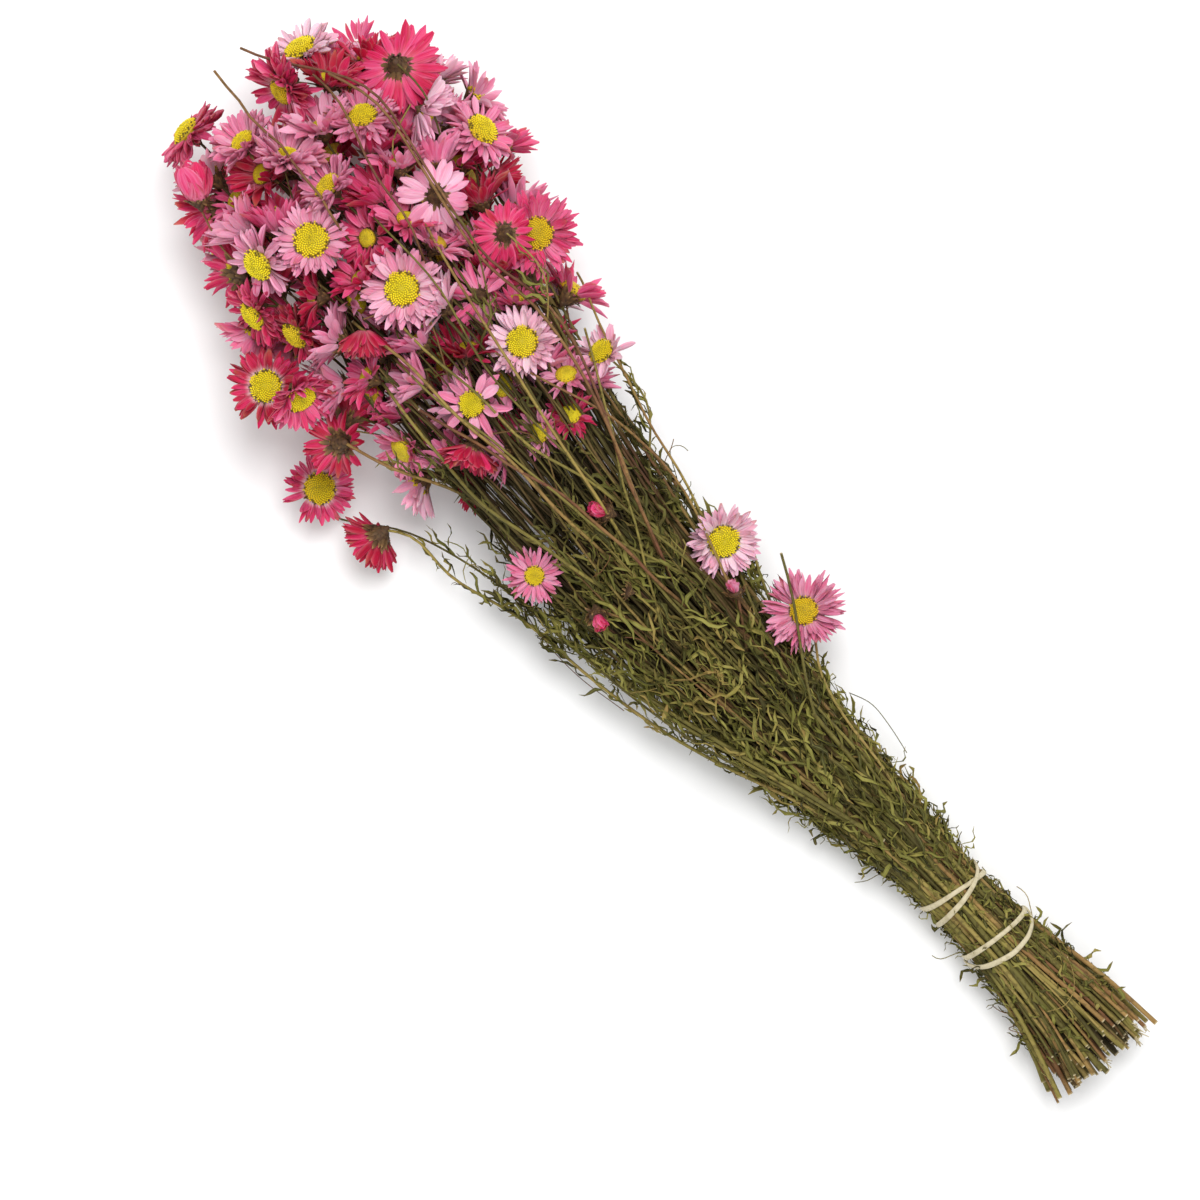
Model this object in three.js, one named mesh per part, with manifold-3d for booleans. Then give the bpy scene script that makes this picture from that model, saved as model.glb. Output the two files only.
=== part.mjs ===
// A tied bunch of dried everlasting daisies, lying on its side on a flat surface.
// Millimetres. X runs along the bunch from the tie to the flowers, Y across it, Z up.
// The origin is on the surface under the tie, at the middle of the bundle's flat spot.
import * as THREE from 'three';
import { mergeVertices } from 'three/addons/utils/BufferGeometryUtils.js';
import Module from 'manifold-3d';

const wasm = await Module();
wasm.setup();

// Driving dimensions
const CLEARANCE = 0.3;          // kept between pieces that touch
const STEM_RADIUS = 1.4;
const NECK = 8;                 // from a flower's face to the foot of its scaly cup
const LEVEL_DROP = 20;          // height lost by each layer of flowers under the top one
const STEEPEST = 68;            // degrees that the inner petals of a closed flower rise
const LEAF_WIDTH = 4.2;
const LEAF_THICKNESS = 1.3;
const BAND_WIDTH = 2.6;
const BAND_THICKNESS = 1.0;
const CUT_END = -86;
const CORE_START = -62;
const HEAD_START = 255;         // where the packed flowers begin
const HEAD_END = 446;
const ELBOW_ROOM = 0.36;        // share of two flowers' spreads between their middles
const CUT_ENDS = 28;
const STRAY_STEPS = 6;
const FOOT_SUNK = 2;            // a packed flower's stem runs this far into its cup
const OUTER_STEMS = 12;         // ribs round the packed stems
const INNER_STEMS = 5;          // ribs inside the head of the bunch
const RIB_DEPTH = 1.5;
const RIB_TWIST = 0.0012;       // radians for each millimetre along
const LEAF_START = -50;
const LEAF_END = 250;
const LEAF_STEP = 17;
const LEAVES_ROUND = 7;
const GOLDEN_ANGLE = Math.PI * (3 - Math.sqrt(5));

// Outline of the bunch at stations along it: low and high side across, underside, top,
// and the share of that outline which the packed stems fill.
const OUTLINE = [
  { x: -90, low: -25, high: 27, under: 3, top: 38, core: 0 },
  { x: -62, low: -24.5, high: 21.5, under: 2, top: 37, core: 0.93 },
  { x: -45, low: -22, high: 18.5, under: 1.6, top: 35.5, core: 0.96 },
  { x: -24, low: -17.8, high: 16.8, under: 1.9, top: 34.5, core: 1 },
  { x: -10.5, low: -17, high: 16, under: 1.9, top: 34, core: 1 },
  { x: -8, low: -16.5, high: 15.8, under: -0.6, top: 34, core: 1 },
  { x: 4, low: -15.5, high: 15.3, under: -0.6, top: 34, core: 1 },
  { x: 6.5, low: -14.2, high: 15, under: 1.9, top: 34, core: 1 },
  { x: 18, low: -13.8, high: 15.5, under: 1.9, top: 34, core: 1 },
  { x: 40, low: -15.5, high: 19, under: 0.8, top: 36, core: 0.94 },
  { x: 80, low: -16, high: 29, under: 0.8, top: 42, core: 0.9 },
  { x: 120, low: -20, high: 37, under: 1.5, top: 49, core: 0.84 },
  { x: 160, low: -25, high: 46, under: 2.5, top: 56, core: 0.76 },
  { x: 210, low: -30, high: 57, under: 4, top: 66, core: 0.62 },
  { x: 250, low: -37, high: 61, under: 5, top: 76, core: 0.48 },
  { x: 300, low: -50, high: 66, under: 4, top: 88, core: 0.34 },
  { x: 350, low: -64, high: 74, under: 3, top: 96, core: 0.27 },
  { x: 400, low: -84, high: 79, under: 2, top: 100, core: 0.2 },
  { x: 440, low: -72, high: 64, under: 5, top: 94, core: 0.1 },
  { x: 485, low: -44, high: 48, under: 20, top: 74, core: 0 },
];

// Petal colours from nearly white (tone 0) through mid pink (1) to deep rose (2)
const PETAL_TONES = [0xf0cbdc, 0xe59bbd, 0xd9699a, 0xcc3f78, 0xb5265a];
const GREEN = 0x77753b;
const YELLOW = 0xe2c72c;
const CREAM = 0xddd6bc;

// Flowers seen from above: name, along, across, lean from upright and the way it leans in
// degrees, spread, tone, layer under the top, rise of the petals, and a height where the
// flower stands apart from the head of the bunch.
const FLOWERS = [
  ['low_side', 147, -30, 10, 0, 38, 1.0, 0, 12, 45],
  ['low_side_pale', 192, -24, 18, 180, 34, 0.3, 0, 12, 47],
  ['small_open', 234, 46, 3, 0, 26, 0.9, 0, 10],
  ['stray_back', 292, 88, 115, 90, 31, 2.0, 0, 28, 22],
  ['stray_face', 324.5, 91, 20, 225, 34, 1.5, 0, 12, 21],
  ['rose_turned', 331, 72, 150, 60, 30, 2.0, 0, 25],
  ['rose_edge', 290, 32, 88, 120, 28, 2.0, 0, 34],
  ['lilac_sparse', 304.5, 18, 15, 40, 32, 0.8, 0, 8],
  ['crimson_dome', 353, 36, 108, 150, 24, 2.0, 0, 66],
  ['pale_face', 310, -15, 12, 20, 33, 0.3, 0, 12],
  ['pale_ragged', 286, -38, 45, 10, 28, 0.4, 0, 18],
  ['pink_face', 341, -50, 10, 200, 38, 1.4, 0, 12],
  ['rose_back', 349, -39, 168, 30, 28, 1.8, -0.1, 25],
  ['wide_face', 359, 8, 10, 60, 38, 0.6, 0, 10],
  ['round_face', 399, 23, 5, 0, 34, 0.8, 0, 12],
  ['reflexed', 407, 46, 52, 90, 34, 0.7, 0, -10],
  ['dark_side', 394, 62, 75, 90, 32, 1.7, 0.4, 25],
  ['dark_face', 369, 78, 15, 30, 36, 1.9, 0, 10],
  ['leaning_in', 355, 70, 58, 175, 34, 1.5, -0.35, 22],
  ['crimson_side', 376, 54, 68, 95, 30, 2.0, 0.4, 28],
  ['facing_tip', 411, 3, 55, 10, 30, 0.9, 0, 18],
  ['dark_centre', 432, 7, 50, 300, 34, 0.8, 0, 24],
  ['closed_cup', 447, 46, 88, 0, 22, 1.7, 0, 62],
  ['tip_single', 474, 32, 62, 10, 32, 2.0, 0, 22, 46],
  ['tip_pink', 450, 17, 35, 0, 32, 1.0, 0.15, 16],
  ['tip_wide', 455, -9, 50, 90, 38, 1.6, 0, 14],
  ['tip_pale', 465, -27, 55, 350, 34, 0.2, 0.2, 18],
  ['big_back', 430, -52, 152, 170, 40, 1.8, 0, 20],
  ['messy', 408, -48, 98, 200, 34, 0.5, 0, 26],
  ['upper_pink', 424, -27, 40, 330, 34, 0.9, 0, 16],
  ['upper_back', 379, -28, 170, 0, 33, 0.7, 0, 22],
  ['side_face', 388, -61, 48, 270, 34, 1.0, 0, 14],
  ['rose_upper', 338, 60, 118, 300, 30, 2.0, 1.3, 30],
  ['small_pink', 451, -33, 30, 300, 28, 1.0, 0.9, 16],
];

// Those that show their whole yellow disc
const OPEN_FACES = [
  'low_side', 'low_side_pale', 'small_open', 'stray_face', 'lilac_sparse', 'pale_face',
  'pale_ragged', 'pink_face', 'wide_face', 'round_face', 'reflexed', 'dark_face',
  'facing_tip', 'upper_pink', 'side_face', 'tip_pink', 'tip_wide', 'tip_pale',
];

// Flowers in the layers below, seen between those
const DEEPER_FLOWERS = [
  ['dusty', 307, 54, 55, 90, 30, 1.0, 1, 20],
  ['magenta', 337, 46, 65, 90, 26, 1.5, 1, 24],
  ['dusty_low', 312, 42, 60, 60, 28, 1.0, 2, 20],
  ['white_side', 316, -53, 100, 290, 26, 0, 1, 34],
  ['pale_low', 336, -62, 55, 290, 28, 0.5, 2, 18],
  ['crimson_back', 329, -35, 140, 0, 24, 2.0, 1, 34],
  ['rose_in_stems', 271, -10, 30, 0, 24, 1.8, 1.2, 20],
  ['lilac_small', 283, -17, 40, 330, 22, 0.9, 1, 20],
  ['lilac_stem', 277, 1, 40, 60, 22, 0.9, 1, 20],
  ['dusky', 303, 3, 30, 40, 26, 1.0, 1.4, 16],
  ['crimson_low', 328, 14, 60, 30, 30, 2.0, 1.7, 20],
  ['spidery_back', 337, -14, 158, 20, 32, 1.2, 1, 20],
  ['pink_between', 364, -14, 40, 250, 28, 0.9, 1.2, 18],
  ['crimson_deep', 362, -28, 50, 220, 30, 2.0, 2, 20],
  ['pale_behind', 388, 70, 98, 100, 32, 1.0, 1, 32],
  ['rose_hollow', 414, 57, 150, 0, 36, 1.8, 1.2, 28],
  ['turned_pink', 370, 25, 65, 235, 32, 0.9, 1, 24],
  ['rose_middle', 385, 5, 35, 60, 32, 1.5, 1, 16],
  ['rose_behind', 420, 24, 98, 330, 30, 1.6, 1, 28],
  ['orange_disc', 437, 36, 60, 20, 30, 1.3, 1, 22],
  ['rose_between', 404, -23, 60, 100, 28, 2.0, 1, 24],
  ['crimson_a', 400, -7, 40, 20, 30, 2.0, 2, 18],
  ['crimson_b', 425, -8, 50, 0, 30, 2.0, 1.7, 20],
  ['crimson_c', 445, -4, 60, 0, 28, 2.0, 1.7, 20],
  ['crimson_d', 437, -26, 60, 340, 28, 1.8, 1.7, 20],
  ['pale_under', 446, -44, 60, 320, 28, 0.5, 1.2, 20],
  ['spidery_side', 400, -70, 95, 260, 34, 0.7, 1, 26],
  ['dried_head', 371, -54, 108, 250, 20, 2.0, 1, 60],
  ['crimson_e', 380, -46, 60, 250, 28, 2.0, 1.8, 22],
];

// Buds on short side stems: along, across, height, radius, tone
const BUDS = [
  [236, 7, 73, 4, 2.0],
  [174, -14, 50, 3.5, 1.0],
  [201, 40, 64, 4, 2.0],
  [204, 21, 67, 3, 1.0],
];

// Bare stems that stray over the flowers, as points along, across and up
const STRAY_STEMS = [
  [[318, 4, 48], [345, -26, 92], [360, -28, 102], [400, -34, 110], [430, -37, 108],
    [452, -25, 104], [470, -12, 96], [480, -8, 90]],
  [[335, 4, 50], [360, -12, 94], [380, -14, 108], [412, -16, 112], [432, -25, 108],
    [452, -22, 100]],
  [[365, 10, 52], [385, 12, 96], [405, 9.5, 110], [427, 6.5, 111], [452, 8, 102],
    [480, 6.5, 90]],
];

// Numbers from 0 to 1 that come out the same on every run
class Draws {
  constructor(seed) {
    this.state = seed;
  }

  next() {
    this.state = (this.state * 1664525 + 1013904223) % 4294967296;
    return this.state / 4294967296;
  }

  between(low, high) {
    return low + (high - low) * this.next();
  }
}

const radians = THREE.MathUtils.degToRad;

function outlineAt(x) {
  const last = OUTLINE.length - 1;
  let i = 0;
  while (i < last - 1 && OUTLINE[i + 1].x < x) i += 1;
  const [a, b] = [OUTLINE[i], OUTLINE[i + 1]];
  const t = THREE.MathUtils.clamp((x - a.x) / (b.x - a.x), 0, 1);
  const mix = (key) => a[key] + (b[key] - a[key]) * t;
  return {
    y: (mix('low') + mix('high')) / 2,
    halfWidth: (mix('high') - mix('low')) / 2,
    z: (mix('top') + mix('under')) / 2,
    halfHeight: (mix('top') - mix('under')) / 2,
    core: mix('core'),
  };
}

// A point of the bundle's cross-section at x, where u and v run from -1 to 1
function inBundle(x, u, v) {
  const o = outlineAt(x);
  return new THREE.Vector3(x, o.y + u * o.halfWidth, o.z + v * o.halfHeight);
}

// Solids

function toSolid(geometry) {
  const bare = geometry.clone();
  bare.deleteAttribute('normal');
  bare.deleteAttribute('uv');
  const merged = mergeVertices(bare, 1e-4);
  return new wasm.Manifold(new wasm.Mesh({
    numProp: 3,
    vertProperties: new Float32Array(merged.attributes.position.array),
    triVerts: new Uint32Array(merged.index.array),
  }));
}

function toGeometry(solid) {
  const mesh = solid.getMesh();
  const geometry = new THREE.BufferGeometry();
  geometry.setAttribute('position', new THREE.BufferAttribute(mesh.vertProperties, 3));
  geometry.setIndex(new THREE.BufferAttribute(mesh.triVerts, 1));
  geometry.computeVertexNormals();
  return geometry;
}

function indexedGeometry(points, faces) {
  const geometry = new THREE.BufferGeometry().setFromPoints(points);
  geometry.setIndex(faces.flat());
  return geometry;
}

function joined(solids) {
  return solids.reduce((sum, solid) => sum.add(solid));
}

// Rings of points with equal counts, skinned one to the next and closed at both ends,
// or end to start for a hoop.
function skinned(rings, hoop = false) {
  const count = rings[0].length;
  const faces = [];
  const spans = hoop ? rings.length : rings.length - 1;
  for (let r = 0; r < spans; r += 1) {
    const [here, there] = [r * count, ((r + 1) % rings.length) * count];
    for (let i = 0; i < count; i += 1) {
      const j = (i + 1) % count;
      faces.push([here + i, here + j, there + j]);
      faces.push([here + i, there + j, there + i]);
    }
  }
  if (!hoop) {
    const end = (rings.length - 1) * count;
    for (let i = 1; i < count - 1; i += 1) {
      faces.push([0, i + 1, i]);
      faces.push([end, end + i, end + i + 1]);
    }
  }
  return indexedGeometry(rings.flat(), faces);
}

// The same, drawn to a point at the far end
function pointed(rings, tip) {
  const count = rings[0].length;
  const geometry = skinned(rings);
  const points = [...rings.flat(), tip];
  const index = [...geometry.index.array];
  const kept = index.slice(0, index.length - 3 * 2 * (count - 2));
  const last = (rings.length - 1) * count;
  const faces = [];
  for (let i = 0; i < kept.length; i += 3) faces.push(kept.slice(i, i + 3));
  for (let i = 1; i < count - 1; i += 1) faces.push([0, i + 1, i]);
  for (let i = 0; i < count; i += 1) {
    faces.push([last + i, last + ((i + 1) % count), points.length - 1]);
  }
  return indexedGeometry(points, faces);
}

// A three-sided stem along a curve
function stemSolid(points, steps, grow = 0) {
  const curve = new THREE.CatmullRomCurve3(points, false, 'centripetal');
  const radius = STEM_RADIUS + 2 * grow;
  const section = new THREE.Shape();
  section.moveTo(radius, 0);
  for (let i = 1; i < 3; i += 1) {
    const turn = (i / 3) * 2 * Math.PI;
    section.lineTo(radius * Math.cos(turn), radius * Math.sin(turn));
  }
  section.closePath();
  return toSolid(new THREE.ExtrudeGeometry(section, { steps, extrudePath: curve }));
}

// A flower head: the yellow disc, two layers of papery petals and the scaly cup behind.
// Its face looks along +Z with the middle of the disc at the origin.
const FORMS = {
  front: { petals: 7, innerPoints: 2, outerPoints: 4 },
  deep: { petals: 6, innerPoints: 2, outerPoints: 2 },
  deepest: { petals: 6, innerPoints: 0, outerPoints: 2 },
};

function petalRim(petals, points, turn, root, length, rise, grow) {
  const step = (2 * Math.PI) / petals;
  const rim = [];
  const place = (angle, along) => {
    const r = root + along * length * Math.cos(rise) + grow;
    rim.push([angle + turn, r, along * length * Math.sin(rise)]);
  };
  for (let i = 0; i < petals; i += 1) {
    place((i - 0.5) * step, 0.36);
    if (points === 4) place((i - 0.3) * step, 0.74);
    place(i * step, 1);
    if (points === 4) place((i + 0.3) * step, 0.74);
  }
  return rim;
}

function flowerGeometry(form, spread, rise, discRaised, grow) {
  const { petals, innerPoints, outerPoints } = FORMS[form];
  const step = (2 * Math.PI) / petals;
  const discRadius = Math.min(0.2 * spread, 6.8);
  const length = (spread / 2 - discRadius) / Math.max(Math.cos(rise), 0.55);
  const points = [];
  const faces = [];
  const put = ([angle, r, z]) => {
    points.push(new THREE.Vector3(r * Math.cos(angle), r * Math.sin(angle), z));
    return points.length - 1;
  };
  const hub = (turn, r, z) => {
    const ring = [];
    for (let i = 0; i < petals; i += 1) ring.push(put([i * step + turn, r, z]));
    return ring;
  };
  const cap = (tip, ring, up) => ring.forEach((a, i) => {
    const b = ring[(i + 1) % ring.length];
    faces.push(up ? [tip, a, b] : [tip, b, a]);
  });
  const spreadOut = (ring, rim, perPetal, start, up) => ring.forEach((h, i) => {
    const at = (k) => rim[(start + i * perPetal + k + rim.length) % rim.length];
    for (let k = 0; k < perPetal; k += 1) {
      faces.push(up ? [h, at(k), at(k + 1)] : [h, at(k + 1), at(k)]);
    }
    const next = ring[(i + 1) % ring.length];
    faces.push(up ? [h, at(perPetal), next] : [h, next, at(perPetal)]);
  });
  // Grown by a clearance, a petal gets a blunt edge instead of a sharp one
  const edge = (rim, lift) => {
    const top = rim.map(([angle, r, z]) => put([angle, r, z + lift + grow]));
    if (!grow) return [top, top];
    const under = rim.map(([angle, r, z]) => put([angle, r, z + lift - grow]));
    top.forEach((a, i) => {
      const j = (i + 1) % top.length;
      faces.push([a, under[i], under[j]], [a, under[j], top[j]]);
    });
    return [top, under];
  };
  const inner = petalRim(petals, innerPoints, 0, discRadius, length * 0.7,
    Math.min(rise + radians(15), radians(STEEPEST)), grow);
  const outer = petalRim(petals, outerPoints, step / 2, discRadius, length, rise, grow);

  const face = put([0, 0, (discRaised ? 2.6 : 0) + grow]);
  const turn = innerPoints ? 0 : step / 2;
  const discRim = hub(turn, discRadius + (discRaised ? 0 : 0.3), 0.8 + grow);
  cap(face, discRim, true);
  let inward = discRim;
  if (innerPoints) {
    const [innerTop, innerUnder] = edge(inner, 0.6);
    spreadOut(discRim, innerTop, innerPoints, 0, true);
    inward = hub(step / 2, discRadius - 0.2, -0.8);
    spreadOut(inward, innerUnder, innerPoints, innerPoints / 2, false);
  }
  const [outerTop, outerUnder] = edge(outer, -1.2);
  spreadOut(inward, outerTop, outerPoints, 0, true);
  const cup = hub(step / 2, 4.2 + grow, -5 - grow);
  spreadOut(cup, outerUnder, outerPoints, 0, false);
  cap(put([0, 0, -NECK - grow]), cup, false);
  return indexedGeometry(points, faces);
}

// The loose disc of an open flower, a low dome just above its petals
function discGeometry(spread) {
  const radius = Math.min(0.2 * spread, 6.8) - 0.5;
  const profile = [
    new THREE.Vector2(0, 0.4),
    new THREE.Vector2(radius, 1.3),
    new THREE.Vector2(radius * 0.6, 2.8),
    new THREE.Vector2(0, 3.3),
  ];
  return new THREE.LatheGeometry(profile, 8).rotateX(Math.PI / 2);
}

// Where each flower stands

function flowerFrom([name, x, y, lean, towards, spread, tone, level, rise, height]) {
  const tilt = radians(lean);
  const way = radians(towards);
  const axis = new THREE.Vector3(
    Math.sin(tilt) * Math.cos(way), Math.sin(tilt) * Math.sin(way), Math.cos(tilt));
  const o = outlineAt(x);
  const across = THREE.MathUtils.clamp((y - o.y) / o.halfWidth, -0.97, 0.97);
  const top = o.z + (o.halfHeight - 6) * Math.sqrt(1 - across * across);
  const z = height ?? top - level * LEVEL_DROP;
  const centre = new THREE.Vector3(x, y, z);
  return { name, centre, axis, spread, tone, level, rise: radians(rise) };
}

// Flowers on the flanks and the underside, in rings round the head that face outwards
function hiddenFlowers() {
  const draws = new Draws(41);
  const flowers = [];
  const rings = [304, 342, 380, 418];
  const angles = [-15, -62, -112, -162];
  rings.forEach((ringX, r) => angles.forEach((angle, a) => {
    const x = ringX + draws.between(-7, 7) + (a % 2) * 10;
    const way = radians(angle + draws.between(-8, 8));
    const o = outlineAt(x);
    const spread = draws.between(28, 35);
    const tone = draws.between(0.2, 2);
    const rise = radians(draws.between(12, 30));
    const axis = new THREE.Vector3(draws.between(0.1, 0.5), Math.cos(way), Math.sin(way));
    axis.normalize();
    const z = o.z + (o.halfHeight - 6) * Math.sin(way);
    const y = o.y + (o.halfWidth - 8) * Math.cos(way);
    const centre = new THREE.Vector3(x, y, z);
    flowers.push({ name: `under_${r}_${a}`, centre, axis, spread, tone, level: 2, rise });
  }));
  return flowers;
}

// The packed flowers push one another and the front ones aside until they only just meet
function settle(loose, fixed) {
  const everyOne = [...fixed, ...loose];
  for (let round = 0; round < 40; round += 1) {
    loose.forEach((flower) => {
      everyOne.forEach((other) => {
        if (other === flower) return;
        const apart = flower.centre.clone().sub(other.centre);
        const wanted = ELBOW_ROOM * (flower.spread + other.spread);
        const short = wanted - apart.length();
        if (short > 0) flower.centre.addScaledVector(apart.normalize(), short * 0.3);
      });
      keepInOutline(flower);
    });
  }
}

function keepInOutline({ centre, axis, spread }) {
  const o = outlineAt(centre.x);
  const u = (centre.y - o.y) / o.halfWidth;
  const v = (centre.z - o.z) / o.halfHeight;
  const share = Math.hypot(u, v);
  const most = 0.88;
  if (share > most) {
    centre.y = o.y + (u * o.halfWidth * most) / share;
    centre.z = o.z + (v * o.halfHeight * most) / share;
  }
  const upright = Math.sqrt(1 - axis.z * axis.z);
  const reach = Math.max((spread / 2) * upright - 5 * axis.z, 5);
  centre.z = Math.max(centre.z, reach - 0.4);
  centre.x = THREE.MathUtils.clamp(centre.x, HEAD_START + 20, 455);
}

function place(geometry, flower) {
  const turn = new THREE.Quaternion().setFromUnitVectors(
    new THREE.Vector3(0, 0, 1), flower.axis);
  const matrix = new THREE.Matrix4().compose(
    flower.centre, turn, new THREE.Vector3(1, 1, 1));
  return geometry.applyMatrix4(matrix);
}

function discSolid(flower) {
  return toSolid(place(discGeometry(flower.spread), flower));
}

function flowerSolid(flower, form, discRaised = true, grow = 0) {
  return toSolid(place(
    flowerGeometry(form, flower.spread, flower.rise, discRaised, grow), flower));
}

// The packed stems: one ribbed body along the whole bunch, a rib for each outer stem
function coreSolid(from, to, ribs = OUTER_STEMS, grow = 0) {
  const inside = OUTLINE.map((station) => station.x).filter((x) => x > from && x < to);
  const rings = [from, ...inside, to].map((x) => {
    const o = outlineAt(x);
    const core = Math.max(o.core, 0.05);
    const ring = [];
    for (let i = 0; i < 2 * ribs; i += 1) {
      const angle = (i / (2 * ribs)) * 2 * Math.PI + x * RIB_TWIST;
      const depth = (i % 2) * RIB_DEPTH;
      ring.push(new THREE.Vector3(
        x,
        o.y + (core * o.halfWidth - depth + grow) * Math.cos(angle),
        o.z + (core * o.halfHeight - depth + grow) * Math.sin(angle)));
    }
    return ring;
  });
  return toSolid(skinned(rings));
}

// Cut stem ends stand out of the end of the bundle
function cutEnds() {
  const draws = new Draws(7);
  const from = CORE_START + 4;
  const solids = [];
  for (let i = 0; i < CUT_ENDS; i += 1) {
    const share = 0.93 * Math.sqrt((i + 0.5) / CUT_ENDS);
    const angle = i * GOLDEN_ANGLE;
    const [u, v] = [share * Math.cos(angle), share * Math.sin(angle)];
    const to = CUT_END + draws.between(-3, 8);
    const start = inBundle(from, u * 0.88, v * 0.88);
    const end = inBundle(to, u + draws.between(-0.06, 0.06), v);
    solids.push(stemSolid([start, end], 1));
  }
  return solids;
}

// Each flower's own stem leaves the packed stems and bends out to the foot of its head
function rootBelow(centre, distance) {
  const x = centre.x - distance;
  const o = outlineAt(x);
  const angle = Math.atan2(
    (centre.z - o.z) / o.halfHeight, (centre.y - o.y) / o.halfWidth);
  const inside = o.core * 0.6;
  return inBundle(x, inside * Math.cos(angle), inside * Math.sin(angle));
}

function flowerRoot({ centre, level }) {
  if (level < 1) return rootBelow(centre, 62);
  return rootBelow(centre, Math.min(34, centre.x - HEAD_START - 6));
}

function flowerStem({ centre, axis, level }, grow = 0, sunk = 0) {
  const gap = sunk ? -sunk : CLEARANCE + 0.1 - grow;
  const foot = centre.clone().addScaledVector(axis, -NECK - gap);
  const arrival = axis.clone().multiplyScalar(0.65).add(new THREE.Vector3(0.7, 0, 0));
  arrival.normalize();
  const root = flowerRoot({ centre, level });
  const reach = foot.distanceTo(root);
  const bend = foot.clone().addScaledVector(arrival, -0.45 * reach);
  bend.z = Math.max(bend.z, STEM_RADIUS + 0.5);
  return stemSolid([root, bend, foot], 2, grow);
}

// Narrow curled leaves stand out of the bundle, most of them pointing to the flowers
function leafSolids(flowers) {
  const draws = new Draws(23);
  const solids = [];
  const clearOfFlowers = (points) => points.every((p) => flowers.every(
    (flower) => p.distanceTo(flower.centre) > flower.spread / 2 + 3));
  for (let x0 = LEAF_START; x0 < LEAF_END; x0 += LEAF_STEP) {
    for (let k = 0; k < LEAVES_ROUND; k += 1) {
      const x = x0 + draws.between(0, LEAF_STEP);
      const angle = ((k + draws.between(0.1, 0.9)) / LEAVES_ROUND) * 2 * Math.PI;
      const length = draws.between(22, 34);
      const turn = draws.between(-0.35, 0.35);
      const flare = draws.between(1.06, 1.24);
      const at = (along, share, swing) => inBundle(x + along * length,
        share * Math.cos(angle + swing), share * Math.sin(angle + swing));
      const nearBand = BANDS.some((band) => x + length > band.from && x < band.to);
      const inHeadOfBunch = x + length > HEAD_START - 2;
      const root = at(0, outlineAt(x).core - 0.2, 0);
      const middle = at(0.42, 1.04, turn * 0.4);
      const tip = at(0.95, flare, turn);
      if (nearBand || inHeadOfBunch || !clearOfFlowers([middle, tip])) continue;
      const along = tip.clone().sub(root).normalize();
      const outward = middle.clone().sub(inBundle(middle.x, 0, 0)).normalize();
      const side = new THREE.Vector3().crossVectors(along, outward).normalize();
      outward.crossVectors(side, along);
      const section = (centre, width, thickness) => [
        centre.clone().addScaledVector(side, -width / 2).addScaledVector(outward, -thickness / 2),
        centre.clone().addScaledVector(outward, thickness / 2),
        centre.clone().addScaledVector(side, width / 2).addScaledVector(outward, -thickness / 2),
      ];
      solids.push(toSolid(pointed([
        section(root, LEAF_WIDTH * 0.6, LEAF_THICKNESS),
        section(middle, LEAF_WIDTH, LEAF_THICKNESS),
      ], tip)));
    }
  }
  return solids;
}

function budSolid([x, y, z, radius]) {
  return toSolid(new THREE.SphereGeometry(radius, 6, 4).scale(1.5, 1, 1).translate(x, y, z));
}

function budStem([x, y, z]) {
  const centre = new THREE.Vector3(x, y, z);
  return stemSolid([rootBelow(centre, 32), centre], 1);
}

// Rubber bands: each is doubled round the bundle, and its two turns cross at the sides.
// A turn's place along the bundle is a function of the angle round it.
const BANDS = [
  {
    name: 'lower_band',
    from: -26,
    to: -10,
    turns: [
      (angle) => -13.6 - (Math.sin(angle) > 0 ? 8 : -1) * Math.sin(angle),
      (angle) => -12.9 - 1.2 * Math.abs(Math.sin(angle)),
    ],
  },
  {
    name: 'upper_band',
    from: 4,
    to: 18,
    turns: [
      (angle) => 8.4 - 2.1 * Math.cos(angle),
      (angle) => 12.6 + 2.4 * Math.cos(angle),
    ],
  },
];

function bandSolid({ turns }, grow = 0) {
  const steps = 16;
  const middle = BAND_THICKNESS / 2 + 0.3 + CLEARANCE;
  const half = BAND_WIDTH / 2 + grow;
  const thick = BAND_THICKNESS / 2 + grow;
  return joined(turns.map((turn) => {
    const rings = [];
    for (let i = 0; i < steps; i += 1) {
      const angle = (i / steps) * 2 * Math.PI;
      const x = turn(angle);
      const { y, z, halfWidth, halfHeight } = outlineAt(THREE.MathUtils.clamp(x, -24, 16));
      const out = new THREE.Vector3(
        0, Math.cos(angle) / halfWidth, Math.sin(angle) / halfHeight).normalize();
      const at = new THREE.Vector3(
        x, y + halfWidth * Math.cos(angle), z + halfHeight * Math.sin(angle));
      const corner = (along, outward) => at.clone()
        .add(new THREE.Vector3(along, 0, 0))
        .addScaledVector(out, middle + outward);
      rings.push([
        corner(half, -thick), corner(half, thick), corner(-half, thick), corner(-half, -thick),
      ]);
    }
    return toSolid(skinned(rings, true));
  }));
}

// Putting the bunch together

const aboveSurface = toSolid(new THREE.BoxGeometry(1200, 600, 400).translate(200, 0, 200));

function largest(solid) {
  const pieces = solid.decompose();
  return pieces.reduce((best, piece) => (piece.volume() > best.volume() ? piece : best));
}

function toneColour(tone) {
  const place = THREE.MathUtils.clamp(tone, 0, 2) * 2;
  const step = Math.min(Math.floor(place), 3);
  return new THREE.Color(PETAL_TONES[step]).lerp(new THREE.Color(PETAL_TONES[step + 1]), place - step);
}

const bunch = new THREE.Group();

function addNode(name, solid, color, roughness = 0.8) {
  const material = new THREE.MeshStandardMaterial({ color, roughness, metalness: 0 });
  const mesh = new THREE.Mesh(toGeometry(solid), material);
  mesh.name = name;
  bunch.add(mesh);
}

const front = FLOWERS.map(flowerFrom);
const deeper = DEEPER_FLOWERS.map(flowerFrom);
const packed = [...deeper, ...hiddenFlowers()];
settle(packed, front);
const all = [...front, ...packed];

const strays = STRAY_STEMS.map((points) => points.map((p) => new THREE.Vector3(...p)));

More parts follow.
